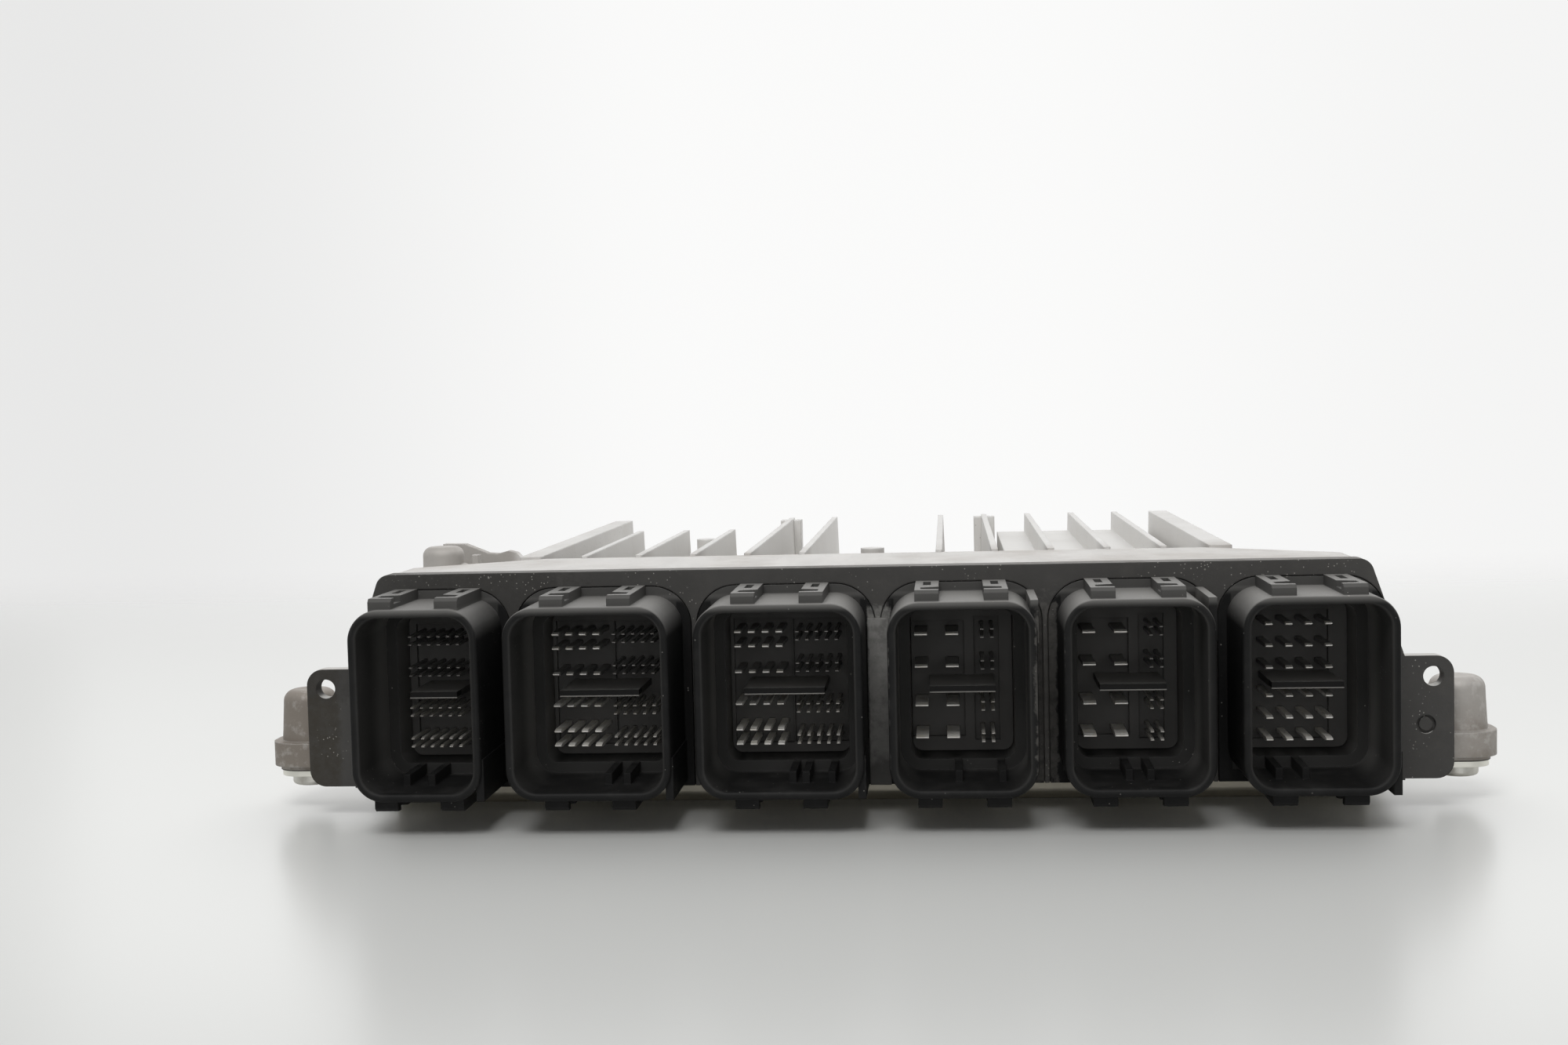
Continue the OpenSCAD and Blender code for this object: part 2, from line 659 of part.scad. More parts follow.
// Gusset behind the tower with a humped top; places are counted from the tower and the lid's top
module rear_gusset() {
    top = [[-4.3, -3.7], [1.3, -3.8], [7.2, -6.2], [9.8, -6.4], [12.5, -5.7], [14.6, -6.2], [16.8, -8.6]];
    wall_x = cast_wall / 2 - lid_low_hw;
    along_y(lug_rear_y - web_t / 2, lug_rear_y + web_t / 2)
        polygon(concat([for (p = top) [p[0] - lug_x, p[1] + lid_z]],
                       [[top[6][0] - lug_x, deck_z - eps], [wall_x, deck_z - eps],
                        [wall_x, seam_z + lug_foot_h], [top[0][0] - lug_x, deck_z]]));
}

// Wedge that is cut from the top of one rear corner of the lid
module corner_wedge() {
    translate([lid_low_hw - corner_w, lid_back_y, lid_z])
        rotate(-corner_turn)
            rotate([-corner_slope, 0, 0])
                translate([-lid_low_hw, 0, 0])
                    cube([2 * lid_low_hw, lid_low_hw, lid_rise]);
}

// Plan of the lid, with round corners at the rear
module lid_plan() {
    translate([0, lid_back_y - lid_d])
        round_rect(2 * lid_low_hw, 2 * lid_d, lid_rear_r);
}

// Closed path of the seal on the seam
module seam_ring(grow) {
    translate([0, (seam_front_y + seam_back_y) / 2, seam_z])
        round_frame(2 * seam_seal_hw + seal_w, seam_back_y - seam_front_y, seam_seal_r)
            translate([seam_seal_r - seal_w - grow, 0])
                square([seal_w + 2 * grow, seal_h + grow]);
}

module cooling_housing() {
    cast_l = cast_back_y - cast_front_y;
    foot_inset = 0.5;
    foot_hw = pan_hw - foot_inset;
    rear_peg_y = lid_back_y + fin_short_l + rear_peg_d;
    peg_spots = [[-fin_start - rear_peg_k * fin_pitch, rear_peg_y, fin_z - rear_peg_drop],
                 [0, lid_back_y + front_peg_d, fin_z - front_peg_drop]];
    hollow_front_y = cast_front_y + lid_d / 2;
    pedestal_r = 1.5;
    pedestal_rim = 2;
    color([0.79, 0.78, 0.75])
        difference() {
            union() {
                difference() {
                    intersection() {
                        along_y(cast_front_y, lid_back_y)
                            round_lid_outline(seam_z, lid_z, lid_low_hw, lid_top_hw, lid_edge_r);
                        linear_extrude(2 * lid_z)
                            lid_plan();
                    }
                    for (m = [0, 1])
                        mirror([m, 0, 0])
                            corner_wedge();
                }
                translate([0, cast_front_y + cast_l / 2, seam_z])
                    linear_extrude(deck_z - seam_z)
                        round_rect(2 * lid_low_hw, cast_l, cast_r);
                translate([0, cast_front_y + cast_l / 2, seam_z])
                    linear_extrude(cast_wall)
                        round_rect(2 * foot_hw, cast_l, cast_r);
                translate([plateau_x[0], plateau_y[0], deck_z - eps])
                    cube([plateau_x[1] - plateau_x[0], plateau_y[1] - plateau_y[0], plateau_z - deck_z]);
                for (side = [-1, 1])
                    fin_group(side);
                for (spot = lug_spots)
                    lug(spot);
                tower_web(lug_spots[3]);
                rear_gusset();
                // Round pegs for the ejector pins
                for (spot = peg_spots)
                    translate([spot[0], spot[1], deck_z - eps])
                        cylinder(r = peg_r, h = spot[2] - deck_z);
            }
            // Hollow under the lid, open at the front and the bottom
            intersection() {
                along_y(cast_front_y - eps, lid_back_y - cast_wall)
                    lid_outline(seam_z - 1, roof_z, inner_low_hw, inner_top_hw);
                translate([0, lid_back_y - cast_wall - lid_d, 0])
                    linear_extrude(2 * lid_z)
                        round_rect(2 * inner_low_hw, 2 * lid_d, lid_rear_r - cast_wall);
            }
            // Hollow under the deck
            translate([0, (hollow_front_y + cast_back_y - cast_wall) / 2, seam_z - 1])
                linear_extrude(under_deck_z - seam_z + 1)
                    round_rect(2 * inner_low_hw, cast_back_y - cast_wall - hollow_front_y,
                               cast_r - cast_wall);
            // Hollow under the plateau
            translate([plateau_x[0] + cast_wall, plateau_y[0] + cast_wall, under_deck_z - 1])
                cube([plateau_x[1] - plateau_x[0] - 2 * cast_wall,
                      plateau_y[1] - plateau_y[0] - 2 * cast_wall,
                      plateau_z - cast_wall - under_deck_z + 1]);
            seam_ring(seal_clear);
            for (spot = lug_spots)
                translate([spot[0], spot[1], seam_z - eps])
                    cylinder(r = screw_r, h = screw_hole_d);
        }
    color([0.79, 0.78, 0.75])
        difference() {
            for (spot = post_spots)
                translate([spot[0], spot[1], board_z])
                    cylinder(r = post_r, h = under_deck_z - board_z + eps);
            for (spot = post_spots)
                translate([spot[0], spot[1], board_z - eps])
                    cylinder(r = board_screw_r, h = board_screw_l - board_t + screw_spare);
        }
    // Pedestals that reach down to the hot chips
    color([0.79, 0.78, 0.75])
        for (heat = heat_spots)
            translate([heat[0][0], heat[0][1], heat[2] + pad_t])
                linear_extrude(under_deck_z - heat[2] - pad_t + eps)
                    round_rect(heat[1] + pedestal_rim, heat[1] + pedestal_rim, pedestal_r);
}

module base_pan() {
    lap = 0.2;
    color([0.55, 0.49, 0.4])
        difference() {
            union() {
                translate([0, pan_mid_y, 0])
                    round_frame(2 * pan_hw, pan_l, pan_r) {
                        // Flange, wall and bend in one profile
                        translate([pan_wall_r - pan_t, seam_z - pan_t])
                            square([pan_flange + pan_t, pan_t]);
                        translate([pan_wall_r - pan_t, pan_bend])
                            square([pan_t, seam_z - pan_bend]);
                        difference() {
                            translate([pan_wall_r - pan_bend, 0])
                                square([pan_bend, pan_bend]);
                            translate([pan_wall_r - pan_bend, pan_bend])
                                difference() {
                                    square([3 * pan_bend, 3 * pan_bend], center = true);
                                    circle(pan_bend);
                                }
                            translate([pan_wall_r - pan_bend, pan_bend])
                                circle(pan_bend - pan_t);
                        }
                    }
                translate([0, pan_mid_y, 0])
                    linear_extrude(pan_t)
                        round_rect(2 * (pan_hw - pan_flange - pan_bend), pan_l - 2 * (pan_flange + pan_bend),
                                   pan_wall_r - pan_bend + lap);
                for (spot = lug_spots) {
                    side = sign(spot[0]);
                    translate([spot[0], spot[1], seam_z - pan_t])
                        linear_extrude(pan_t) {
                            round_rect(2 * pan_ear_half, 2 * pan_ear_half, pan_ear_r);
                            mirror([side > 0 ? 1 : 0, 0])
                                translate([0, -pan_ear_half])
                                    square([lug_x - pan_hw + pan_flange / 2, 2 * pan_ear_half]);
                        }
                }
            }
            for (spot = lug_spots)
                translate([spot[0], spot[1], seam_z - pan_t - 1])
                    cylinder(r = screw_r + screw_clear, h = pan_t + 2);
        }
}

module connector_frame() {
    ring_w = 0.5;
    ring_d = 0.7;
    disc_d = 0.25;
    color([0.17, 0.17, 0.16])
        difference() {
            union() {
                along_y(face_y, frame_back_y)
                    round_lid_outline(frame_low_z, lid_z, lid_low_hw, lid_top_hw, frame_r);
                along_y(face_y, face_y + ear_t)
                    translate([0, (ear_z + ear_low_z) / 2])
                        round_rect(2 * ear_hw, ear_z - ear_low_z, ear_r);
                // Flat-topped bridge over the collars between the two middle sockets
                along_y(face_y - bridge_t, face_y + eps)
                    translate([socket_x[2] + socket_w[2] / 2 + bridge_gap, frame_low_z])
                        square([socket_gap - 2 * bridge_gap, socket_low + socket_h - bridge_drop]);
                // Tongue that enters the casting
                along_y(frame_back_y - eps, frame_back_y + tongue_d)
                    difference() {
                        lid_outline(seam_z, roof_z - tongue_clear, inner_low_hw - tongue_clear,
                                    inner_top_hw - tongue_clear);
                        lid_outline(seam_z + tongue_t, roof_z - tongue_clear - tongue_t,
                                    inner_low_hw - tongue_clear - tongue_t,
                                    inner_top_hw - tongue_clear - tongue_t);
                    }
            }
            for (i = [0:len(socket_w) - 1]) {
                along_y(face_y - collar_gap, face_y + collar_t)
                    collar_outline(i, collar_w + collar_gap, frame_low_z - 1);
                along_y(face_y, frame_back_y + tongue_d + 1)
                    socket_outline(i, neck_clear - neck_step);
            }
            for (side = [-1, 1])
                translate([side * (ear_hw - ear_hole_in), face_y - 1, ear_z - ear_hole_down])
                    rotate([-90, 0, 0])
                        cylinder(d = ear_hole_d, h = ear_t + 2);
            // Ring-shaped dimple in the right ear
            translate([ear_hw - ear_hole_in - dimple_in, face_y - eps, ear_z - ear_hole_down - dimple_down])
                rotate([-90, 0, 0]) {
                    cylinder(d = dimple_d, h = disc_d);
                    difference() {
                        cylinder(d = dimple_d, h = ring_d);
                        cylinder(d = dimple_d - 2 * ring_w, h = ring_d + 1);
                    }
                }
            frame_seal_ring(seal_clear);
            seam_ring(seal_clear);
        }
}

// Arch of the seal in the frame's rear face, in front of the casting's rim
module frame_seal_ring(grow) {
    mid = cast_wall / 2;
    w = seal_w / 2 + grow;
    along_y(frame_back_y - seal_h - grow, frame_back_y)
        difference() {
            lid_outline(seam_z, lid_z - mid + w, lid_low_hw - mid + w, lid_top_hw - mid + w);
            lid_outline(seam_z - 1, lid_z - mid - w, lid_low_hw - mid - w, lid_top_hw - mid - w);
        }
}

// Latch blocks above or below a socket; each has a slit and a blind pocket
module latch_blocks(i, up) {
    latch_l = socket_reach - latch_back;
    sink = 0.6;
    top = latch_h + sink;
    slit_tip = slit_w / 3;
    for (side = [-1, 1])
        translate([socket_x[i] + side * latch_dx, rim_y + latch_back, socket_mid_z])
            mirror([side > 0 ? 1 : 0, 0, 0])
                mirror([0, 0, up > 0 ? 0 : 1])
                    translate([0, 0, socket_h / 2 - sink])
                        difference() {
                            translate([-latch_w / 2, 0, 0])
                                rotate([90, 0, 90])
                                    linear_extrude(latch_w)
                                        polygon([[0, 0], [latch_l, 0], [latch_l, top], [latch_chamfer, top],
                                                 [0, top - latch_chamfer]]);
                            translate([0, slit_in, top - pocket_d])
                                linear_extrude(2 * pocket_d)
                                    polygon([[-latch_w / 4, 0], [latch_w, 0],
                                             [latch_w, slit_w], [-latch_w / 4, slit_tip]]);
                            translate([-pocket_w / 2, latch_l - pocket_in - pocket_l, top - pocket_d])
                                cube([pocket_w, pocket_l, 2 * pocket_d]);
                        }
}

// Key that squares off one right-hand corner behind the rim
module corner_key(i) {
    translate([socket_x[i] + socket_w[i] / 2 + key_proud - key_t, rim_y + key_back, socket_mid_z])
        mirror([0, 0, key_side[i] > 0 ? 0 : 1])
            translate([0, 0, socket_h / 2 - key_h])
                cube([key_t, socket_reach - key_back, key_h]);
}

// One socket: shroud, collar, neck through the frame, latch blocks, key and coding ribs
module socket(i) {
    color([0.15, 0.15, 0.15])
        difference() {
            union() {
                along_y(rim_y, face_y + eps)
                    socket_outline(i, 0);
                along_y(face_y, face_y + collar_t)
                    collar_outline(i, collar_w, frame_low_z);
                along_y(face_y, plate_back_y)
                    socket_outline(i, -neck_step);
                latch_blocks(i, 1);
                latch_blocks(i, -1);
                corner_key(i);
            }
            along_y(rim_y - 1, face_y)
                socket_outline(i, -socket_wall);
            along_y(face_y - eps, plate_back_y + 1)
                socket_outline(i, -neck_step - neck_wall);
        }
    color([0.15, 0.15, 0.15])
        for (x = rib_x[i])
            translate([socket_x[i] + x - rib_w / 2, rim_y + rib_back, socket_low_z + socket_wall / 2])
                cube([rib_w, socket_reach - rib_back + collar_t / 2, rib_h + socket_wall / 2]);
}

// Outline of the sunk field around one group's contacts
module contact_field(i, g) {
    w = g[0][len(g[0]) - 1] - g[0][0] + g[2] + 2 * field_margin;
    h = g[1][len(g[1]) - 1] - g[1][0] + g[3] + 2 * field_margin;
    translate([socket_x[i] + (g[0][0] + g[0][len(g[0]) - 1]) / 2 - w / 2, socket_mid_z - h / 2])
        square([w, h]);
}

// Plate that closes a socket's floor and carries its contacts; a guide tongue stands between the rows
module contact_plate(i, groups) {
    color([0.12, 0.12, 0.12])
        union() {
            along_y(floor_y, floor_y + field_d)
                difference() {
                    socket_outline(i, -neck_step - neck_wall - plate_clear);
                    for (g = groups)
                        contact_field(i, g);
                }
            along_y(floor_y + field_d - eps, plate_back_y)
                difference() {
                    socket_outline(i, -neck_step - neck_wall - plate_clear);
                    for (g = groups)
                        for (x = g[0])
                            for (z = g[1])
                                translate([socket_x[i] + x, socket_mid_z + z])
                                    square([g[2] + 2 * contact_clear, g[3] + 2 * contact_clear],
                                           center = true);
                }
            translate([socket_x[i] - guide_w[i] / 2, rim_y + guide_back, socket_mid_z - guide_t / 2])
                cube([guide_w[i], floor_y - rim_y - guide_back + field_d + eps, guide_t]);
        }
}

// Contacts of one kind: straight through the plate, then down to the board; the lowest row turns first
module contacts(i, cols, rows, w, t) {
    tip = t * 0.3;
    taper_y = tip_y + t * 1.6;
    for (r = [0:len(rows) - 1]) {
        z = rows[r];
        tail_y = board_front_y + tail_in + r * tail_pitch;
        drop = socket_mid_z + z - board_z;
        for (x = cols)
            translate([socket_x[i] + x - w / 2, 0, socket_mid_z + z])
                rotate([90, 0, 90])
                    linear_extrude(w)
                        polygon([[tip_y, -tip / 2], [taper_y, -t / 2], [tail_y, -t / 2], [tail_y, -drop],
                                 [tail_y + t, -drop], [tail_y + t, t / 2],
                                 [taper_y, t / 2], [tip_y, tip / 2]]);
    }
}

// Contacts of one group in socket i
module contact_group(i, g) {
    color([0.8, 0.76, 0.66])
        contacts(i, g[0], g[1], g[2], g[3]);
}

module frame_seal() {
    color([0.3, 0.3, 0.32])
        frame_seal_ring(0);
}

module base_seal() {
    color([0.3, 0.3, 0.32])
        seam_ring(0);
}

module circuit_board() {
    corner_r = 3;
    color([0.12, 0.33, 0.2])
        translate([0, board_mid_y, board_low_z])
            linear_extrude(board_t)
                difference() {
                    round_rect(2 * board_hw, board_back_y - board_front_y, corner_r);
                    for (spot = post_spots)
                        translate([spot[0], spot[1] - board_mid_y])
                            circle(board_screw_r + screw_clear);
                }
}

// Flat chip with a stepped edge, standing on the board
module chip(spot, w, h) {
    step = 0.8;
    translate([spot[0], spot[1], board_z]) {
        translate([-w / 2, -w / 2, 0])
            cube([w, w, h / 3]);
        translate([step - w / 2, step - w / 2, h / 3])
            cube([w - 2 * step, w - 2 * step, 2 * h / 3]);
    }
}

module processor() {
    color([0.16, 0.16, 0.18])
        chip(processor_spot, processor_w, processor_h);
}

module memory_chip() {
    color([0.16, 0.16, 0.18])
        chip(memory_spot, memory_w, chip_h);
}

module driver_chips() {
    color([0.16, 0.16, 0.18])
        for (spot = driver_spots)
            chip(spot, driver_w, chip_h);
}

module buffer_capacitors() {
    bead_d = 0.5;
    base_h = capacitor_h * 0.12;
    bead_z = capacitor_h * 0.2;
    color([0.35, 0.38, 0.45])
        for (spot = capacitor_spots)
            translate([spot[0], spot[1], board_z])
                rotate_extrude() {
                    square([capacitor_d / 2, base_h]);
                    square([capacitor_d / 2 - bead_d, bead_z]);
                    translate([0, bead_z])
                        square([capacitor_d / 2, capacitor_h - bead_z]);
                }
}

module coils() {
    cap_h = 1;
    corner_r = 1.5;
    cap_d = coil_w * 0.7;
    color([0.25, 0.25, 0.26])
        for (spot = coil_spots)
            translate([spot[0], spot[1], board_z]) {
                linear_extrude(coil_h - cap_h)
                    round_rect(coil_w, coil_w, corner_r);
                cylinder(d = cap_d, h = coil_h);
            }
}

module pressure_sensor() {
    stem_d = sensor_d * 0.6;
    port_d = sensor_d * 0.25;
    color([0.2, 0.2, 0.2])
        translate([sensor_spot[0], sensor_spot[1], board_z])
            difference() {
                union() {
                    translate([-sensor_d / 2, -sensor_d / 2, 0])
                        cube([sensor_d, sensor_d, sensor_h / 2]);
                    cylinder(d = stem_d, h = sensor_h);
                }
                translate([0, 0, sensor_h / 2])
                    cylinder(d = port_d, h = sensor_h);
            }
}

// Soft pads between the hot chips and the casting's pedestals
module thermal_pads() {
    corner_r = 1;
    color([0.62, 0.64, 0.7])
        for (heat = heat_spots)
            translate([heat[0][0], heat[0][1], heat[2]])
                linear_extrude(pad_t)
                    round_rect(heat[1], heat[1], corner_r);
}

module board_screws() {
    color([0.7, 0.7, 0.7])
        for (spot = post_spots)
            translate([spot[0], spot[1], board_low_z]) {
                translate([0, 0, -board_head_h])
                    cylinder(r = board_head_r, h = board_head_h);
                translate([0, 0, -eps])
                    cylinder(r = board_screw_r, h = board_screw_l + eps);
            }
}

module base_screws() {
    edge_r = 0.7;
    drive_d = 1.2;
    color([0.68, 0.67, 0.63])
        for (spot = lug_spots)
            translate([spot[0], spot[1], seam_z - pan_t])
                difference() {
                    union() {
                        rotate_extrude() {
                            translate([0, -screw_head_h])
                                square([screw_head_r - edge_r, screw_head_h]);
                            translate([0, edge_r - screw_head_h])
                                square([screw_head_r, screw_head_h - edge_r]);
                            translate([screw_head_r - edge_r, edge_r - screw_head_h])
                                circle(edge_r);
                        }
                        cylinder(r = screw_r, h = screw_l);
                    }
                    translate([0, 0, -screw_head_h - eps])
                        cylinder(r = screw_r, h = drive_d, $fn = 6);
                }
}

cooling_housing();
base_pan();
connector_frame();
socket(0);  // signal_socket
socket(1);  // left_mixed_socket
socket(2);  // right_mixed_socket
socket(3);  // left_blade_socket
socket(4);  // right_blade_socket
socket(5);  // power_socket
contact_plate(0, [signal_group]);  // signal_contact_plate
contact_plate(1, [mixed_group, mixed_signal_group]);  // left_mixed_contact_plate
contact_plate(2, [mixed_group, mixed_signal_group]);  // right_mixed_contact_plate
contact_plate(3, [blade_group, blade_signal_group]);  // left_blade_contact_plate
contact_plate(4, [blade_group, blade_signal_group]);  // right_blade_contact_plate
contact_plate(5, [power_group]);  // power_contact_plate
contact_group(0, signal_group);  // signal_socket_pins
contact_group(1, mixed_group);  // left_mixed_load_pins
contact_group(1, mixed_signal_group);  // left_mixed_signal_pins
contact_group(2, mixed_group);  // right_mixed_load_pins
contact_group(2, mixed_signal_group);  // right_mixed_signal_pins
contact_group(3, blade_group);  // left_socket_blades
contact_group(3, blade_signal_group);  // left_blade_signal_pins
contact_group(4, blade_group);  // right_socket_blades
contact_group(4, blade_signal_group);  // right_blade_signal_pins
contact_group(5, power_group);  // power_socket_pins
frame_seal();
base_seal();
circuit_board();
processor();
memory_chip();
driver_chips();
buffer_capacitors();
coils();
pressure_sensor();
thermal_pads();
board_screws();
base_screws();
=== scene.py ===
"""Dresses an engine control unit.

The casting, the mouldings and the contacts get their finishes, and a plain studio is set up.
"""

from __future__ import annotations

import json
import logging
import math
from collections import Counter, defaultdict
from collections.abc import Callable
from dataclasses import dataclass
from enum import Enum
from functools import cached_property
from itertools import product

import bmesh
import bpy
from mathutils import Matrix, Vector

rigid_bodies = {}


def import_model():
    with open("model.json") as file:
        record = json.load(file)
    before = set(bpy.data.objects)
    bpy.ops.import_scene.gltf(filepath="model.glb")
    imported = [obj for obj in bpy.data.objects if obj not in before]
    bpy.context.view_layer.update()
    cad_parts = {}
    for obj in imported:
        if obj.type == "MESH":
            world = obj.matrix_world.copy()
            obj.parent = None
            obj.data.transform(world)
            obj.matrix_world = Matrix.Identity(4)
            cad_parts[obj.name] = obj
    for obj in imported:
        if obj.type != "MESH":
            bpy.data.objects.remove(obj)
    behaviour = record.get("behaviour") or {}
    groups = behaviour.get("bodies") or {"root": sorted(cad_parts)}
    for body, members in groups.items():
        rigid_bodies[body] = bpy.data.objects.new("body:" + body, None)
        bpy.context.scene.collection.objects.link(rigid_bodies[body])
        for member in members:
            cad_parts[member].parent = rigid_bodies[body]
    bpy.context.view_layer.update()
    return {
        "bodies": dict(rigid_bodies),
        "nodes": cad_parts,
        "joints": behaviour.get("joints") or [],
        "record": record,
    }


Colour = tuple[float, float, float]
Place = tuple[float, float, float]
Pair = tuple[float, float]
Ramp = Pair

LOG = logging.getLogger("control_unit")
MM = 0.001
X, Y, Z = range(3)

# Inputs and output of the Mix node that blends colours
MIX_SHARE, MIX_FIRST, MIX_SECOND, MIX_RESULT = 0, 6, 7, 2
BEVEL_SAMPLES = 4

# Sizes of the work on the rims, in millimetres
WELD_MM = 0.002
RIM_FLAT_MM = 0.01
RIM_SEGMENTS = 4

# Places on the unit in millimetres, from where a change starts to where it is complete
SHROUD_Y: Ramp = (-76.0, -66.0)
MOUTH_Y: Ramp = (-66.5, -65.0)
TONGUE_Y: Ramp = (-67.5, -66.0)
TIP_Y: Ramp = (-65.3, -64.6)
FINS_Y: Ramp = (-32.0, -12.0)
TOWER_Y: Ramp = (20.0, 30.0)
EVEN_X: Ramp = (-75.0, -5.0)
CLEAN_X: Ramp = (-75.0, -35.0)
TOWER_X: Ramp = (-95.5, -92.5)
LEFT_LUG_X: Ramp = (-108.0, -94.0)
LEDGE_X: Ramp = (95.0, 97.0)
EAR_X: Ramp = (96.0, 101.0)
LUG_X: Ramp = (98.0, 101.0)
SEAM_Z: Ramp = (7.72, 7.9)
LOW_Z: Ramp = (8.0, 33.0)
UPPER_ROWS_Z: Ramp = (23.0, 25.0)
TONGUE_LINE_Z: tuple[Ramp, Ramp] = ((23.05, 23.1), (23.35, 23.45))
TONGUE_TOP_Z: tuple[Ramp, Ramp] = ((24.1, 24.3), (24.5, 24.7))
LEFT_LUG_Z: Ramp = (26.0, 33.0)
SIDE_Z: Ramp = (29.0, 34.0)
LIP_Z: Ramp = (39.4, 40.8)
BLOCK_Z: Ramp = (40.8, 41.3)
POCKET_Z: tuple[Ramp, Ramp] = ((41.3, 41.6), (42.2, 42.5))
DUST_AND_SHEEN_RISE = 3.0

# Directions of a face and places in a piece's own box, given in the same way
LEVEL_FACE: Ramp = (0.6, 0.9)
TOP_FACE: Ramp = (0.5, 0.95)
FRONT_FACE: Ramp = (-0.8, -0.4)
TILTED_FACE: Ramp = (-0.75, -0.55)
INWARD: Ramp = (-0.3, -0.15)
OUTLINE: Ramp = (0.415, 0.425)

# Colours of dirt, wear and bare places, and colours that paint light and shade
# Painted shade: the guide tongue's front is nearly black to stand in for the shade under the
# shroud
TONGUE_PAINTED_SHADE: Colour = (0.004, 0.004, 0.004)
# Painted highlight along the lower edge of the tongue's front
TONGUE_PAINTED_HIGHLIGHT: Colour = (0.34, 0.33, 0.31)
# Dust with painted light on the tongue's top, which lies in shade
SHELF_DUST_AND_PAINTED_LIGHT: Colour = (0.5, 0.49, 0.47)
LEDGE_DUST: Colour = (0.6, 0.59, 0.56)
# Worn edges on the plastic, lightened partly as a painted highlight
WORN_EDGE_AND_HIGHLIGHT: Colour = (0.2, 0.195, 0.185)
GRIT: Colour = (0.45, 0.435, 0.4)
CLEAN_CASTING: Colour = (0.84, 0.83, 0.81)
BARE_LUG: Colour = (0.78, 0.77, 0.75)
# Painted highlight along the casting's edges
PAINTED_EDGE_HIGHLIGHT: Colour = (0.8, 0.79, 0.77)
SEAM_SHADOW: Colour = (0.03, 0.028, 0.025)
PIT: Colour = (0.3, 0.28, 0.26)
SCUFF: Colour = (0.55, 0.52, 0.46)
# Painted light on the pan's ears
EAR_PAINTED_LIGHT: Colour = (0.95, 0.94, 0.87)
# Painted shade on the upper rows of contacts
PAINTED_SHADE_TIN: Colour = (0.2, 0.196, 0.19)


class Mode(Enum):
    """Operations of the maths that the finishes use."""

    ADD = "ADD"
    SUBTRACT = "SUBTRACT"
    MULTIPLY = "MULTIPLY"
    DIVIDE = "DIVIDE"
    LESS = "LESS_THAN"
    HIGHEST = "MAXIMUM"
    LOWEST = "MINIMUM"
    SIZE = "ABSOLUTE"


class Blend(Enum):
    """Ways to put one colour over another."""

    COVER = "MIX"
    SCALE = "MULTIPLY"


@dataclass(frozen=True)
class Waves:
    """Soft noise: waves in one unit of place, octaves, roughness and the part that is spread."""

    rate: float
    detail: float = 3.0
    rough: float = 0.5
    spread: Ramp | None = None


class Value:
    """A shader socket that takes part in Python expressions."""

    def __init__(self, graph: Graph, socket: bpy.types.NodeSocket | None) -> None:
        """Wraps one output socket of a graph."""
        self.graph = graph
        self.socket = socket

    def _math(self, mode: Mode, other: Value | float = 0.0, swapped: bool = False) -> Value:
        """Adds one Math node.

        Args:
            mode: the operation.
            other: the other operand.
            swapped: True where the other operand comes first.

        Returns:
            The node's result.
        """
        first, second = (other, self) if swapped else (self, other)
        return self.graph.node("ShaderNodeMath", {"operation": mode.value}, {0: first, 1: second})

    def __add__(self, other: Value | float) -> Value:
        """Sum."""
        return self._math(Mode.ADD, other)

    def __radd__(self, other: float) -> Value:
        """Sum with a number in front."""
        return self._math(Mode.ADD, other)

    def __sub__(self, other: Value | float) -> Value:
        """Difference."""
        return self._math(Mode.SUBTRACT, other)

    def __rsub__(self, other: float) -> Value:
        """Difference from a number."""
        return self._math(Mode.SUBTRACT, other, swapped=True)

    def __mul__(self, other: Value | float) -> Value:
        """Product."""
        return self._math(Mode.MULTIPLY, other)

    def __rmul__(self, other: float) -> Value:
        """Product with a number in front."""
        return self._math(Mode.MULTIPLY, other)

    def __truediv__(self, other: Value | float) -> Value:
        """Quotient."""
        return self._math(Mode.DIVIDE, other)

    def __lt__(self, other: Value | float) -> Value:
        """One where this is less than the other."""
        return self._math(Mode.LESS, other)

    def __abs__(self) -> Value:
        """The value without its sign."""
        return self._math(Mode.SIZE)

    def at_least(self, other: Value | float) -> Value:
        """The higher of the two."""
        return self._math(Mode.HIGHEST, other)

    def at_most(self, other: Value | float) -> Value:
        """The lower of the two."""
        return self._math(Mode.LOWEST, other)

    def span(self, low: float, high: float) -> Value:
        """Stretches the range from 0 to 1 over the range from low to high."""
        return self * (high - low) + low

    def swing(self, width: float) -> Value:
        """Stretches the range from 0 to 1 over a width around zero."""
        return (self - 0.5) * width

    def step(self, low: float, high: float) -> Value:
        """Smooth step from 0 at low to 1 at high."""
        return self.graph.node(
            "ShaderNodeMapRange",
            {"interpolation_type": "SMOOTHSTEP", "clamp": True},
            {"Value": self, "From Min": low, "From Max": high, "To Min": 0.0, "To Max": 1.0},
        )

    def band(self, rise: Ramp, fall: Ramp) -> Value:
        """One between a rise and a fall, zero beyond them."""
        return self.step(*rise) * (1.0 - self.step(*fall))


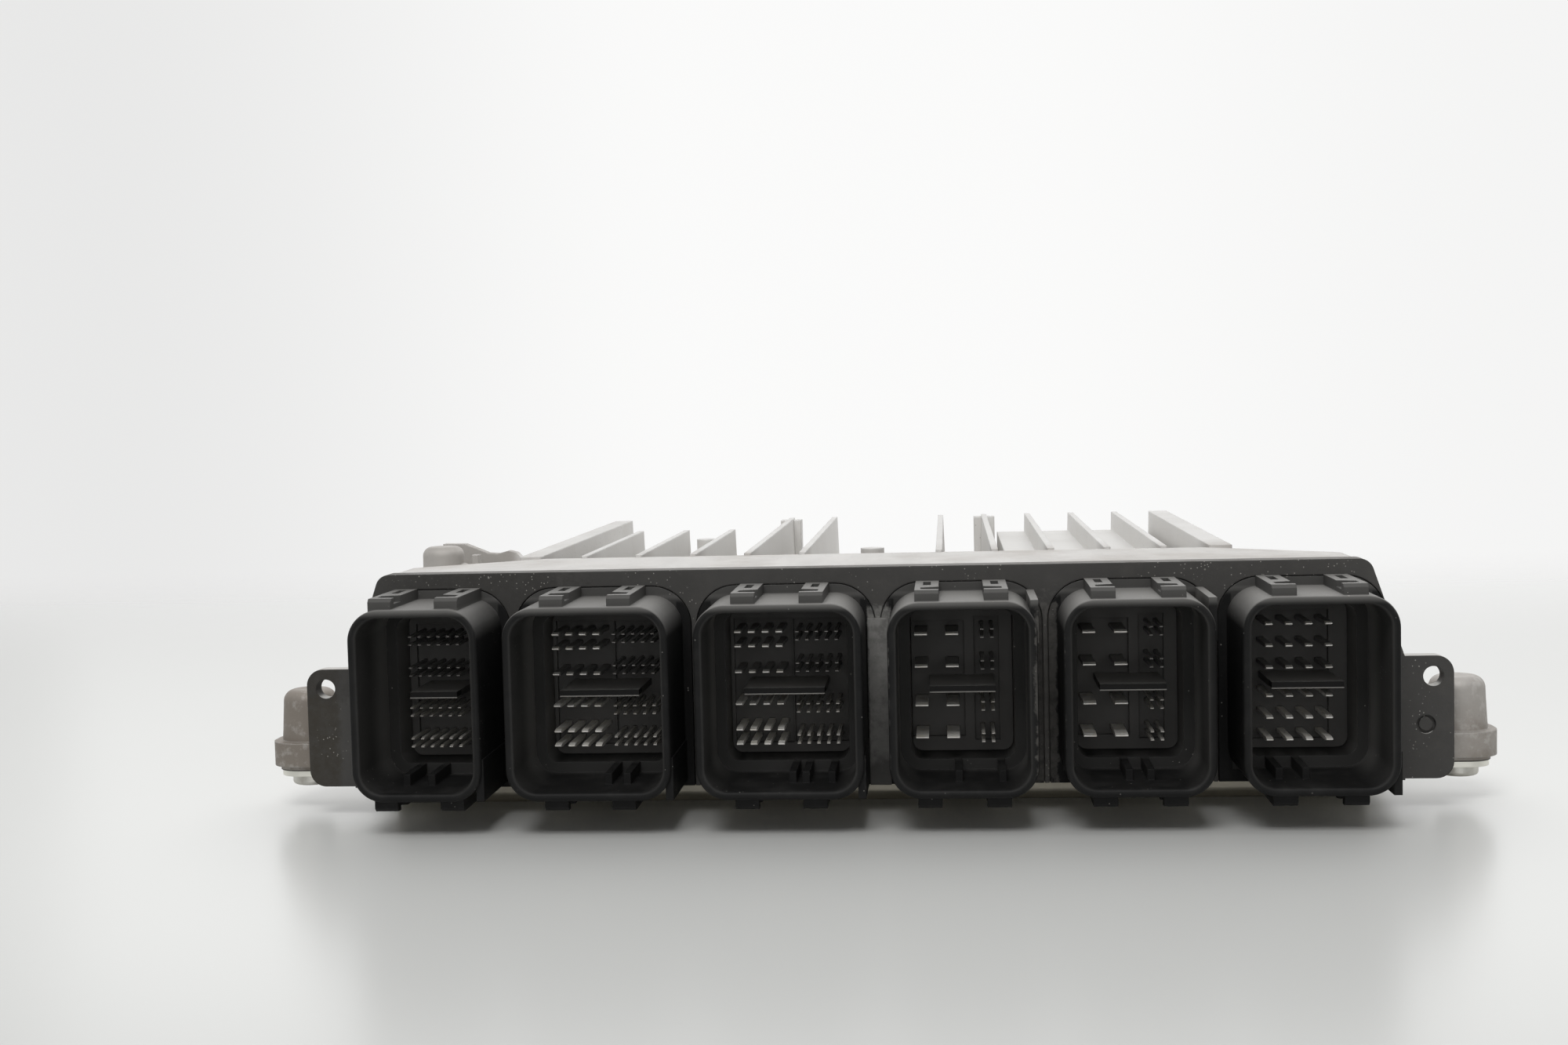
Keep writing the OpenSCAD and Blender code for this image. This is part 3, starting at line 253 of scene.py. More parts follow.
class Graph:
    """A node tree that is filled one node at a time."""

    def __init__(self, owner: bpy.types.Material | bpy.types.World) -> None:
        """Takes over the owner's node tree and empties it."""
        owner.use_nodes = True
        self.tree = owner.node_tree
        self.tree.nodes.clear()

    def node(
        self,
        kind: str,
        settings: dict[str, object] | None = None,
        sockets: dict[str | int, object] | None = None,
        out: str | int = 0,
    ) -> Value:
        """Adds one node.

        Args:
            kind: the node's type.
            settings: properties that are set first.
            sockets: values or links of its inputs, by name or number.
            out: the output that is returned.

        Returns:
            That output.
        """
        made = self.tree.nodes.new(kind)
        for name, setting in (settings or {}).items():
            setattr(made, name, setting)
        for name, given in (sockets or {}).items():
            entry = made.inputs[name]
            if isinstance(given, Value):
                self.tree.links.new(given.socket, entry)
            else:
                entry.default_value = given
        return Value(self, made.outputs[out] if made.outputs else None)

    def mix(
        self,
        share: Value | float,
        first: Value | Colour,
        second: Value | Colour,
        blend: Blend = Blend.COVER,
    ) -> Value:
        """Blends two colours.

        Args:
            share: 0 gives the first colour, 1 the blend with the second.
            first: a colour or a colour socket.
            second: a colour or a colour socket.
            blend: how the second one goes over the first.

        Returns:
            The blended colour.
        """
        pair = [c if isinstance(c, Value) else (*c, 1.0) for c in (first, second)]
        return self.node(
            "ShaderNodeMix",
            {"data_type": "RGBA", "blend_type": blend.value},
            {MIX_SHARE: share, MIX_FIRST: pair[0], MIX_SECOND: pair[1]},
            MIX_RESULT,
        )

    def dim(self, colour: Value | Colour, factor: Value) -> Value:
        """Scales a colour by a value."""
        grey = self.node("ShaderNodeCombineColor", {}, {0: factor, 1: factor, 2: factor})
        return self.mix(1.0, colour, grey, Blend.SCALE)

    def place(self, stretch: Place = (1.0, 1.0, 1.0)) -> Value:
        """Place on the unit in millimetres, stretched along the axes."""
        pair = {0: self.node("ShaderNodeTexCoord", out="Object"), 1: [s / MM for s in stretch]}
        return self.node("ShaderNodeVectorMath", {"operation": "MULTIPLY"}, pair)

    def axis(self, vector: Value, index: int) -> Value:
        """One component of a vector."""
        return self.node("ShaderNodeSeparateXYZ", {}, {0: vector}, index)

    def facing(self, index: int) -> Value:
        """One component of the surface's direction."""
        return self.axis(self.node("ShaderNodeNewGeometry", out="Normal"), index)

    def noise(self, place: Value, waves: Waves) -> Value:
        """Soft noise over the surface.

        Args:
            place: where.
            waves: its size and look.

        Returns:
            From 0 to 1.
        """
        sockets = {
            "Vector": place,
            "Scale": waves.rate,
            "Detail": waves.detail,
            "Roughness": waves.rough,
        }
        drawn = self.node("ShaderNodeTexNoise", {}, sockets)
        return drawn.step(*waves.spread) if waves.spread else drawn

    def specks(self, place: Value, rate: float, size: float, share: float) -> Value:
        """Round specks of random size.

        Args:
            place: where, in millimetres.
            rate: cells in a millimetre.
            size: radius of the largest speck, in cells.
            share: share of the cells that hold a speck.

        Returns:
            One on a speck, zero elsewhere.
        """
        sockets = {"Vector": place, "Scale": rate}
        reach = self.node("ShaderNodeTexVoronoi", {}, sockets, "Distance")
        chance = self.node("ShaderNodeTexVoronoi", {}, sockets, "Color")
        drawn = self.axis(chance, X)
        radius = self.axis(chance, Y) * size
        return (reach < radius) * (drawn < share)

    def rounded(self, radius: float) -> Value:
        """Surface direction with edges rounded to a radius in millimetres."""
        return self.node("ShaderNodeBevel", {"samples": BEVEL_SAMPLES}, {"Radius": radius * MM})

    def edges(self, soft: Value, gain: float) -> Value:
        """Marks edges.

        Args:
            soft: the surface's direction with rounded edges.
            gain: how strongly a change of direction counts.

        Returns:
            Zero on a flat face, up to 1 where the rounded direction leaves it.
        """
        flat = self.node("ShaderNodeNewGeometry", out="Normal")
        pair = {0: soft, 1: flat}
        along = self.node("ShaderNodeVectorMath", {"operation": "DOT_PRODUCT"}, pair, "Value")
        return ((1.0 - along) * gain).at_most(1.0)

    def bump(self, height: Value, depth: float, under: Value) -> Value:
        """Turns a height into a bent surface direction.

        Args:
            height: from 0 to 1.
            depth: depth of the relief in millimetres.
            under: the direction that this relief lies on.

        Returns:
            The bent direction.
        """
        sockets = {"Height": height, "Distance": depth * MM, "Strength": 1.0, "Normal": under}
        return self.node("ShaderNodeBump", {}, sockets)

    def surface(self, sockets: dict[str | int, object]) -> None:
        """Ends the tree in one principled surface."""
        shader = self.node("ShaderNodeBsdfPrincipled", {}, sockets)
        self.node("ShaderNodeOutputMaterial", {}, {"Surface": shader})


class Spot:
    """Where a point of a finish lies and how it faces, as nodes that the layers share."""

    def __init__(self, g: Graph) -> None:
        """Takes the graph whose nodes these are."""
        self.g = g
        self.place = g.place()

    @cached_property
    def across(self) -> Value:
        """Place along the unit's width."""
        return self.g.axis(self.place, X)

    @cached_property
    def depth(self) -> Value:
        """Place along the unit's depth, rising to the rear."""
        return self.g.axis(self.place, Y)

    @cached_property
    def height(self) -> Value:
        """Height above the surface that the unit stands on."""
        return self.g.axis(self.place, Z)

    @cached_property
    def up(self) -> Value:
        """One on a level upper face, zero on walls and undersides."""
        return self.g.facing(Z).at_least(0.0)

    def in_box(self, index: int) -> Value:
        """Place along one axis of the piece's own box, zero in its middle."""
        return self.g.axis(self.g.node("ShaderNodeTexCoord", out="Generated"), index) - 0.5

    def inward(self) -> Value:
        """One on walls that face the middle of their own piece, zero on its outside."""
        slope = self.in_box(X) * self.g.facing(X) + self.in_box(Z) * self.g.facing(Z)
        return 1.0 - slope.step(*INWARD)

    def within(self) -> Value:
        """One inside the outline of the piece's shroud, zero on its outside."""
        return 1.0 - abs(self.in_box(X)).at_least(abs(self.in_box(Z))).step(*OUTLINE)


def fresh(name: str) -> tuple[bpy.types.Material, Graph]:
    """A new material and the graph that fills it."""
    material = bpy.data.materials.new(name)
    return material, Graph(material)


@dataclass(frozen=True)
class DustAndPaintedLightPatch:
    """A patch on one place of a front face, used for settled dust, for painted light in shadowed
    gaps and for painted shade.
    """

    middle: Pair
    half: Pair
    colour: Colour
    strength: float
    ragged: float = 1.1
    fade: float = 0.0
    border: Ramp = (0.85, 1.1)
    clouds: Waves = Waves(0.7, 4.0, 0.65)
    stains: Waves = Waves(0.45, 5.0, 0.7, (0.3, 0.6))

    def cover(self, at: Spot) -> Value:
        """How much of the surface the patch covers.

        Args:
            at: the point on the finish.

        Returns:
            From 0 to 1.
        """
        foot = self.middle[1] - self.half[1]
        across = abs(at.across - self.middle[0]) / self.half[0]
        upward = abs(at.height - self.middle[1]) / self.half[1]
        cloud = at.g.noise(at.place, self.clouds)
        inside = 1.0 - (across.at_least(upward) + cloud.swing(self.ragged)).step(*self.border)
        front = 1.0 - at.g.facing(Y).step(*FRONT_FACE)
        fading = ((at.height - foot) / (2 * self.half[1])).span(1.0 - self.fade, 1.0)
        uneven = cloud.span(0.65, 1.25) * at.g.noise(at.place, self.stains).span(0.55, 1.05)
        return inside * front * fading * uneven * self.strength


@dataclass(frozen=True)
class MouldedPlastic:
    """Black moulded plastic with a fine grain, dust, worn edges and painted light and shade.

    The shares, from the first one to ledge, each bring in one more layer, and 0 leaves it out.
    """

    name: str
    tint: Colour
    roughness: float
    grain_depth: float = 0.02
    film: float = 0.3
    speck_share: float = 0.0
    edge_wear_and_highlight: float = 0.5
    # Colour of the dust, used also for the painted sheen, painted highlights and painted light
    # that fills shade
    dust_and_painted_light: Colour = (0.16, 0.15, 0.135)
    gloss: float = 0.2
    edge_mm: float = 0.25
    dust_and_sheen: float = 0.0
    dust_and_sheen_from: float = 28.0
    tongue: float = 0.0
    tongue_line: float = 0.0
    shelf: float = 0.0
    inside: float = 0.0
    mouth: float = 0.0
    lip: float = 0.0
    ledge: float = 0.0
    patches: tuple[DustAndPaintedLightPatch, ...] = ()
    clouds: Waves = Waves(0.07, 4.0, 0.6)
    grain: Waves = Waves(3.2, 2.0)
    smears: Waves = Waves(0.19, 5.0, 0.65, (0.42, 0.8))
    rubbing: Waves = Waves(0.6, 3.0, 0.5, (0.3, 0.7))
    drifts: Waves = Waves(0.13, 4.0, 0.5, (0.47, 0.6))
    wall_film: float = 0.35
    left_dust_and_sheen: float = 0.6
    flank_painted_light: float = 0.6
    block_dust_and_highlight: float = 0.75
    wear_and_highlight_cover: float = 0.35
    coarse_share: float = 0.6
    grit_cover: float = 0.6

    def on_top(self, at: Spot) -> Value:
        """Dust and a painted sheen on the upper faces.

        Args:
            at: the point on the finish.

        Returns:
            Its cover, which is thinner on the left and spares the latch blocks' pockets.
        """
        high = at.height.step(self.dust_and_sheen_from, self.dust_and_sheen_from + DUST_AND_SHEEN_RISE)
        bare = at.height.band(*POCKET_Z)
        top = at.up * high * at.g.facing(Y).step(*TILTED_FACE) * (1.0 - bare)
        even = at.across.step(*EVEN_X).span(self.left_dust_and_sheen, 1.0)
        return top * even * at.g.noise(at.place, self.clouds).span(0.7, 1.3)

    def on_tongue(self, at: Spot) -> Value:
        """The guide tongue that stands out of a contact plate."""
        return 1.0 - at.depth.step(*TONGUE_Y)

    def on_tongue_line(self, at: Spot) -> Value:
        """A painted highlight along the lower edge of the tongue's front."""
        return self.on_tongue(at) * at.height.band(*TONGUE_LINE_Z) * (1.0 - at.up)

    def on_shelf(self, at: Spot) -> Value:
        """The tongue's level top, lightened with dust and painted light where it lies in shade.
        """
        return at.up.step(*LEVEL_FACE) * at.height.band(*TONGUE_TOP_Z)

    def in_shroud(self, at: Spot) -> Value:
        """Painted light that fills the shade on walls inside the shroud, more so towards its
        floor.
        """
        return at.inward() * at.depth.step(*SHROUD_Y).span(0.2, 1.9) * (1.0 - at.up)

    def in_mouth(self, at: Spot) -> Value:
        """Painted light that fills the shade on the shroud's floor and its side walls."""
        flank = abs(at.g.facing(X)) * self.flank_painted_light
        return at.within() * at.depth.step(*MOUTH_Y).at_least(flank)

    def on_lip(self, at: Spot) -> Value:
        """Dust and a painted highlight on the collar's upper lip and, a little less, on the latch
        blocks above it.
        """
        return at.height.step(*LIP_Z) * at.height.step(*BLOCK_Z).span(1.0, self.block_dust_and_highlight)

    def on_ledge(self, at: Spot) -> Value:
        """Level faces out at the ears."""
        return abs(at.across).step(*LEDGE_X) * at.up.step(*LEVEL_FACE)

    def grit(self, at: Spot) -> Value:
        """Specks of grit.

        Args:
            at: the point on the finish.

        Returns:
            Their cover, which comes in drifts.
        """
        few = self.speck_share * self.coarse_share
        coarse = at.g.specks(at.place, rate=0.7, size=0.14, share=few)
        fine = at.g.specks(at.place, rate=1.7, size=0.22, share=self.speck_share)
        return coarse.at_least(fine) * at.g.noise(at.place, self.drifts) * self.grit_cover

    def layers(self) -> tuple[tuple[float, Callable[[Spot], Value], Colour], ...]:
        """Share, cover and colour of each layer, from the lowest up."""
        return (
            # Besides dust, these layers paint light and shade: a sheen on top faces, shade on the
            # tongue, a highlight along its edge, light on its top and inside the shroud and
            # mouth, and a highlight on the lip
            (self.dust_and_sheen, self.on_top, self.dust_and_painted_light),
            (self.tongue, self.on_tongue, TONGUE_PAINTED_SHADE),
            (self.tongue_line, self.on_tongue_line, TONGUE_PAINTED_HIGHLIGHT),
            (self.shelf, self.on_shelf, SHELF_DUST_AND_PAINTED_LIGHT),
            (self.inside, self.in_shroud, self.dust_and_painted_light),
            (self.mouth, self.in_mouth, self.dust_and_painted_light),
            (self.lip, self.on_lip, self.dust_and_painted_light),
            (self.ledge, self.on_ledge, LEDGE_DUST),
        )

    def build(self) -> bpy.types.Material:
        """Fills a new material.

        Returns:
            The finish as a material.
        """
        material, g = fresh(self.name)
        at = Spot(g)
        cloud = g.noise(at.place, self.clouds)
        grain = g.noise(at.place, self.grain)
        film = g.noise(at.place, self.smears) * at.up.span(self.wall_film, 1.0) * self.film
        soft = g.rounded(self.edge_mm)
        colour = g.mix(film, g.dim(self.tint, cloud.span(0.75, 1.25)), self.dust_and_painted_light)
        for share, cover, dirt in self.layers():
            if share > 0:
                colour = g.mix(cover(at) * share, colour, dirt)
        for patch in self.patches:
            colour = g.mix(patch.cover(at), colour, patch.colour)
        # Worn edges, lightened partly as a painted highlight
        wear_and_highlight = g.edges(soft, gain=3.0) * g.noise(at.place, self.rubbing) * self.edge_wear_and_highlight
        colour = g.mix(wear_and_highlight * self.wear_and_highlight_cover, colour, WORN_EDGE_AND_HIGHLIGHT)
        if self.speck_share > 0:
            colour = g.mix(self.grit(at), colour, GRIT)
        g.surface(
            {
                "Base Color": colour,
                "Roughness": self.roughness + grain.swing(0.12) + film * 0.5 + cloud.swing(0.1),
                "Specular IOR Level": self.gloss,
                "Normal": g.bump(grain, self.grain_depth, soft),
            }
        )
        return material


@dataclass(frozen=True)
class CastMetal:
    """Die-cast aluminium with its matt skin, small pits, brownish stains and grime, with painted
    highlights on its edges and painted shade on its upper faces, at the seam and on the left lug.
    """

    name: str
    tint: Colour
    stain: Colour
    stain_share: float
    roughness: float
    pit_depth: float
    metallic: float
    edge_mm: float = 0.45
    grime_and_shade: Colour = (0.2, 0.17, 0.14)
    blots: Waves = Waves(0.05, 5.0, 0.62, (0.4, 0.72))
    flow: Waves = Waves(0.5, 4.0, 0.6)
    flow_stretch: Place = (0.35, 0.08, 0.6)
    skin: Waves = Waves(1.1, 4.0, 0.6)
    blotches: Waves = Waves(0.16, 4.0, 0.65)
    blotch_spread: Ramp = (0.35, 0.75)
    scrapes: Waves = Waves(0.42, 4.0, 0.65, (0.5, 0.66))
    low_grime: float = 0.3
    side_grime: float = 0.24
    left_grime_and_shade: float = 0.5
    blotch_grime: float = 0.3
    most_grime: float = 0.9
    tower_darkening: float = 0.5
    scrape_cover: float = 0.2
    edge_highlight_cover: float = 0.35
    seam_cover: float = 0.85
    pit_cover: float = 0.4

    def grimy(self, at: Spot) -> Value:
        """Grime low on the casting and on its sides, and grime with painted shade on the left
        lug.

        Args:
            at: the point on the finish.

        Returns:
            Its cover.
        """
        low = 1.0 - at.height.step(*LOW_Z)
        side = 1.0 - at.height.step(*SIDE_Z)
        # Painted shade with some grime on the left lug
        left = (1.0 - at.across.step(*LEFT_LUG_X)) * (1.0 - at.height.step(*LEFT_LUG_Z))
        blotch = (low * at.g.noise(at.place, self.blotches)).step(*self.blotch_spread)
        spread = low * self.low_grime + side * self.side_grime
        local = left * self.left_grime_and_shade + blotch * self.blotch_grime
        return (spread + local).at_most(self.most_grime)

    def scraped(self, at: Spot) -> Value:
        """Bare places on the lugs."""
        bare = abs(at.across).step(*LUG_X) * at.g.noise(at.place, self.scrapes)
        return bare * self.scrape_cover

    def tower(self, at: Spot) -> Value:
        """Darker on the tall boss at the rear left."""
        boss = (1.0 - at.across.step(*TOWER_X)) * at.depth.step(*TOWER_Y)
        return boss * self.tower_darkening

    def build(self) -> bpy.types.Material:
        """Fills a new material.

        Returns:
            The finish as a material.
        """
        material, g = fresh(self.name)
        at = Spot(g)
        blot = g.noise(at.place, self.blots) * self.stain_share
        flow = g.noise(g.place(self.flow_stretch), self.flow)
        skin = g.noise(at.place, self.skin)
        pits = g.specks(at.place, rate=0.9, size=0.2, share=0.3)
        soft = g.rounded(self.edge_mm)
        edge = g.edges(soft, gain=2.5)
        fins = at.depth.step(*FINS_Y)
        clean = at.across.step(*CLEAN_X).span(0.62, 0.8)
        colour = g.mix(blot, g.dim(self.tint, flow.span(0.82, 1.17)), self.stain)
        colour = g.mix(fins * clean, colour, CLEAN_CASTING)
        # Painted shade: upper faces are darkened, more so over the fins
        colour = g.dim(colour, 1.0 - at.up.step(*TOP_FACE) * fins.span(0.16, 0.26))
        for cover, over in (
            (self.grimy(at), self.grime_and_shade),
            (self.scraped(at), BARE_LUG),
            (self.tower(at), self.grime_and_shade),
            # Painted highlight along the edges
            (edge * self.edge_highlight_cover, PAINTED_EDGE_HIGHLIGHT),
            ((1.0 - at.height.step(*SEAM_Z)) * self.seam_cover, SEAM_SHADOW),
            (pits * self.pit_cover, PIT),
        ):
            colour = g.mix(cover, colour, over)
        g.surface(
            {
                "Base Color": colour,
                "Metallic": self.metallic,
                "Roughness": self.roughness + skin.swing(0.25) + blot * 0.15 - edge * 0.08,
                "Normal": g.bump(skin - pits * 0.5, self.pit_depth, soft),
            }
        )
        return material


@dataclass(frozen=True)
class RolledSheet:
    """Pressed sheet with a matt conversion coat, rolling marks along the unit's width and painted
    light on its ears.
    """

    name: str
    tint: Colour
    roughness: float
    metallic: float = 0.85
    edge_mm: float = 0.2
    mark_depth: float = 0.008
    scuff_cover: float = 0.4
    ear_painted_light: float = 0.9
    streaks: Waves = Waves(2.2, 3.0)
    streak_stretch: Place = (0.03, 1.0, 1.0)
    clouds: Waves = Waves(0.09, 4.0, 0.6)

    def build(self) -> bpy.types.Material:
        """Fills a new material.

        Returns:
            The finish as a material.
        """
        material, g = fresh(self.name)
        at = Spot(g)
        streak = g.noise(g.place(self.streak_stretch), self.streaks)
        cloud = g.noise(at.place, self.clouds)
        soft = g.rounded(self.edge_mm)
        colour = g.dim(self.tint, cloud.span(0.6, 1.2) + streak * 0.25)
        colour = g.mix(g.edges(soft, gain=3.0) * self.scuff_cover, colour, SCUFF)
        # Painted light on the ears
        colour = g.mix(abs(at.across).step(*EAR_X) * self.ear_painted_light, colour, EAR_PAINTED_LIGHT)
        g.surface(
            {
                "Base Color": colour,
                "Metallic": self.metallic,
                "Roughness": self.roughness + streak.swing(0.2) + cloud.swing(0.15),
                "Normal": g.bump(streak, self.mark_depth, soft),
            }
        )
        return material


@dataclass(frozen=True)
class PlatedMetal:
    """Bright plating with faint tarnish, and painted shade on the upper contacts that is
    strongest on their shafts.
    """

    name: str
    tint: Colour
    tarnish: Colour
    roughness: float
    metallic: float = 1.0
    shaft_shade: float = 0.0
    least_shade: float = 0.0
    edge_mm: float = 0.06
    draw_depth: float = 0.01
    clouds: Waves = Waves(0.5, 3.0, 0.6)
    tarnish_spread: Ramp = (0.4, 0.75)
    tarnish_cover: float = 0.6
    draw_marks: Waves = Waves(5.0, 2.0)
    draw_stretch: Place = (1.0, 0.12, 1.0)

    def build(self) -> bpy.types.Material:
        """Fills a new material.

        Returns:
            The finish as a material.
        """
        material, g = fresh(self.name)
        at = Spot(g)
        cloud = g.noise(at.place, self.clouds)
        drawn = g.noise(g.place(self.draw_stretch), self.draw_marks)
        dimmed = cloud.step(*self.tarnish_spread) * self.tarnish_cover
        colour = g.mix(dimmed, self.tint, self.tarnish)
        # Painted shade on the upper rows of contacts, strongest behind their tips
        if self.shaft_shade > 0:
            shaft = at.depth.step(*TIP_Y) * self.shaft_shade
            upper = at.height.step(*UPPER_ROWS_Z)
            colour = g.mix(upper * shaft.at_least(self.least_shade), colour, PAINTED_SHADE_TIN)
        g.surface(
            {
                "Base Color": colour,
                "Metallic": self.metallic,
                "Roughness": self.roughness + cloud.swing(0.18) + drawn.swing(0.1),
                "Normal": g.bump(drawn, self.draw_depth, g.rounded(self.edge_mm)),
            }
        )
        return material


@dataclass(frozen=True)
class MattBody:
    """Matt body of an inner part, such as moulding compound, laminate, ferrite or silicone."""

    name: str
    tint: Colour
    second: Colour
    roughness: float
    rate: float
    metallic: float = 0.0
    edge_mm: float = 0.15
    grain_depth: float = 0.012
    grain: Waves = Waves(4.0, 2.0)

    def build(self) -> bpy.types.Material:
        """Fills a new material.

        Returns:
            The finish as a material.
        """
        material, g = fresh(self.name)
        place = g.place()
        cloud = g.noise(place, Waves(self.rate, 4.0, 0.6, (0.3, 0.75)))
        grain = g.noise(place, self.grain)
        g.surface(
            {
                "Base Color": g.mix(cloud, self.tint, self.second),
                "Metallic": self.metallic,
                "Roughness": self.roughness + grain.swing(0.15),
                "Normal": g.bump(grain, self.grain_depth, g.rounded(self.edge_mm)),
            }
        )
        return material


Finish = MouldedPlastic | CastMetal | RolledSheet | PlatedMetal | MattBody


def rim_outlines(mesh: bpy.types.Mesh) -> list[list[int]]:
    """Finds the outlines of the flat rim at a node's front end.

    Args:
        mesh: the node's mesh.

    Returns:
        One list of vertex numbers for each outline.
    """
    front = min(vertex.co.y for vertex in mesh.vertices)
    spots = {
        vertex.index: tuple(round(part / (WELD_MM * MM)) for part in vertex.co)
        for vertex in mesh.vertices
        if vertex.co.y < front + RIM_FLAT_MM * MM
    }
    uses: Counter[frozenset[tuple[int, ...]]] = Counter()
    for face in mesh.polygons:
        if all(index in spots for index in face.vertices):
            ring = [spots[index] for index in face.vertices]
            uses.update(frozenset(pair) for pair in zip(ring, ring[1:] + ring[:1]))
    links: dict[tuple[int, ...], set[tuple[int, ...]]] = defaultdict(set)
    for pair in (pair for pair, count in uses.items() if count == 1 and len(pair) == 2):
        one, other = pair
        links[one].add(other)
        links[other].add(one)
    outlines, left = [], dict.fromkeys(sorted(links))
    while left:
        todo, ring = [next(iter(left))], set()
        while todo:
            spot = todo.pop()
            if spot not in ring:
                ring.add(spot)
                left.pop(spot, None)
                todo.extend(links[spot] - ring)
        outlines.append([index for index, spot in spots.items() if spot in ring])
    return outlines


@dataclass(frozen=True)
class LatchRecess:
    """Slits and pockets of the latch blocks above and below the sockets, in millimetres."""

    middles: tuple[float, ...] = (-79.3, -48.45, -14.55, 17.55, 47.85, 78.4)
    spread: float = 6.0
    front: float = -82.0
    levels: tuple[tuple[float, int], ...] = ((42.9, 1), (4.7, -1))
    depth: float = 1.1
    above: float = 0.5
    slit: tuple[Pair, ...] = ((-1.06, 2.55), (2.3, 2.0), (2.3, 6.4), (-1.06, 5.2))
    pocket: tuple[Pair, ...] = ((-0.68, 9.6), (0.68, 9.6), (0.68, 15.7), (-0.68, 15.7))

    def build(self) -> bpy.types.Object:
        """Makes the cutter.

        Returns:
            The cutter, which is not shown itself.
        """
        shape = bmesh.new()
        for middle, side, (level, up), outline in product(
            self.middles, (-1, 1), self.levels, (self.slit, self.pocket)
        ):
            rings = []
            for height in (level - up * self.depth, level + up * self.above):
                spots = [
                    (middle + side * (self.spread - u), self.front + v, height)
                    for u, v in outline
                ]
                rings.append([shape.verts.new(Vector(spot) * MM) for spot in spots])
            low, high = rings
            shape.faces.new(low)
            shape.faces.new(high)
            for k in range(len(low)):
                shape.faces.new((low[k - 1], low[k], high[k], high[k - 1]))
        bmesh.ops.recalc_face_normals(shape, faces=shape.faces[:])
        mesh = bpy.data.meshes.new("latch_recess")
        shape.to_mesh(mesh)
        shape.free()
        cutter = bpy.data.objects.new("latch_recess", mesh)
        bpy.context.scene.collection.objects.link(cutter)
        cutter.hide_render = True
        return cutter


@dataclass
class SubAssembly:
    """CAD nodes that share one finish, and a rim whose edges are rounded."""

    nodes: tuple[str, ...]
    finish: Finish
    slot: str
    rim_mm: float = 0.0
    sharp_deg: float = 32.0
    recess: LatchRecess | None = None

    def round_rim(self, piece: bpy.types.Object, cutter: bpy.types.Object | None) -> None:
        """Rounds both edges of the rim at the node's front end and opens its recesses.

        Args:
            piece: the node's object.
            cutter: what is cut out of it.
        """
        weld = piece.modifiers.new("join_facets", "WELD")
        weld.merge_threshold = WELD_MM * MM
        for number, outline in enumerate(rim_outlines(piece.data)):
            group = piece.vertex_groups.new(name=f"rim_{number}")
            group.add(outline, 1.0, "REPLACE")
            edge = piece.modifiers.new(f"round_rim_{number}", "BEVEL")
            edge.width = self.rim_mm * MM
            edge.segments = RIM_SEGMENTS
            edge.limit_method = "VGROUP"
            edge.vertex_group = group.name
            edge.use_clamp_overlap = False
            edge.loop_slide = False
        if cutter is not None:
            cut = piece.modifiers.new("open_recesses", "BOOLEAN")
            cut.operation = "DIFFERENCE"
            cut.solver = "EXACT"
            cut.object = cutter
        split = piece.modifiers.new("crisp_edges", "EDGE_SPLIT")
        split.split_angle = math.radians(self.sharp_deg)
        piece.modifiers.new("even_shading", "WEIGHTED_NORMAL")

    def dress(self, frame: dict[str, dict[str, bpy.types.Object]]) -> None:
        """Gives each node its rounding and its finish.

        Args:
            frame: the loaded frame.
        """
        material = self.finish.build()
        cutter = self.recess.build() if self.recess else None
        for name in self.nodes:
            piece = frame["nodes"][name]
            if self.rim_mm > 0:
                self.round_rim(piece, cutter)
            piece.data.materials.clear()
            piece.data.materials.append(material)
            LOG.info("dressed %s", name)


@dataclass(frozen=True)
class Lamp:
    """A soft rectangular lamp, in metres and watts."""

    name: str
    place: Place
    target: Place
    size: Pair
    watts: float

    def hang(self) -> None:
        """Puts the lamp in the scene, where the camera doesn't see it."""
        data = bpy.data.lights.new(self.name, "AREA")
        data.shape = "RECTANGLE"
        data.size, data.size_y = self.size
        data.energy = self.watts
        lamp = bpy.data.objects.new(self.name, data)
        lamp.location = self.place
        aim = Vector(self.target) - Vector(self.place)
        lamp.rotation_euler = aim.to_track_quat("-Z", "Y").to_euler()
        lamp.visible_camera = False
        bpy.context.scene.collection.objects.link(lamp)


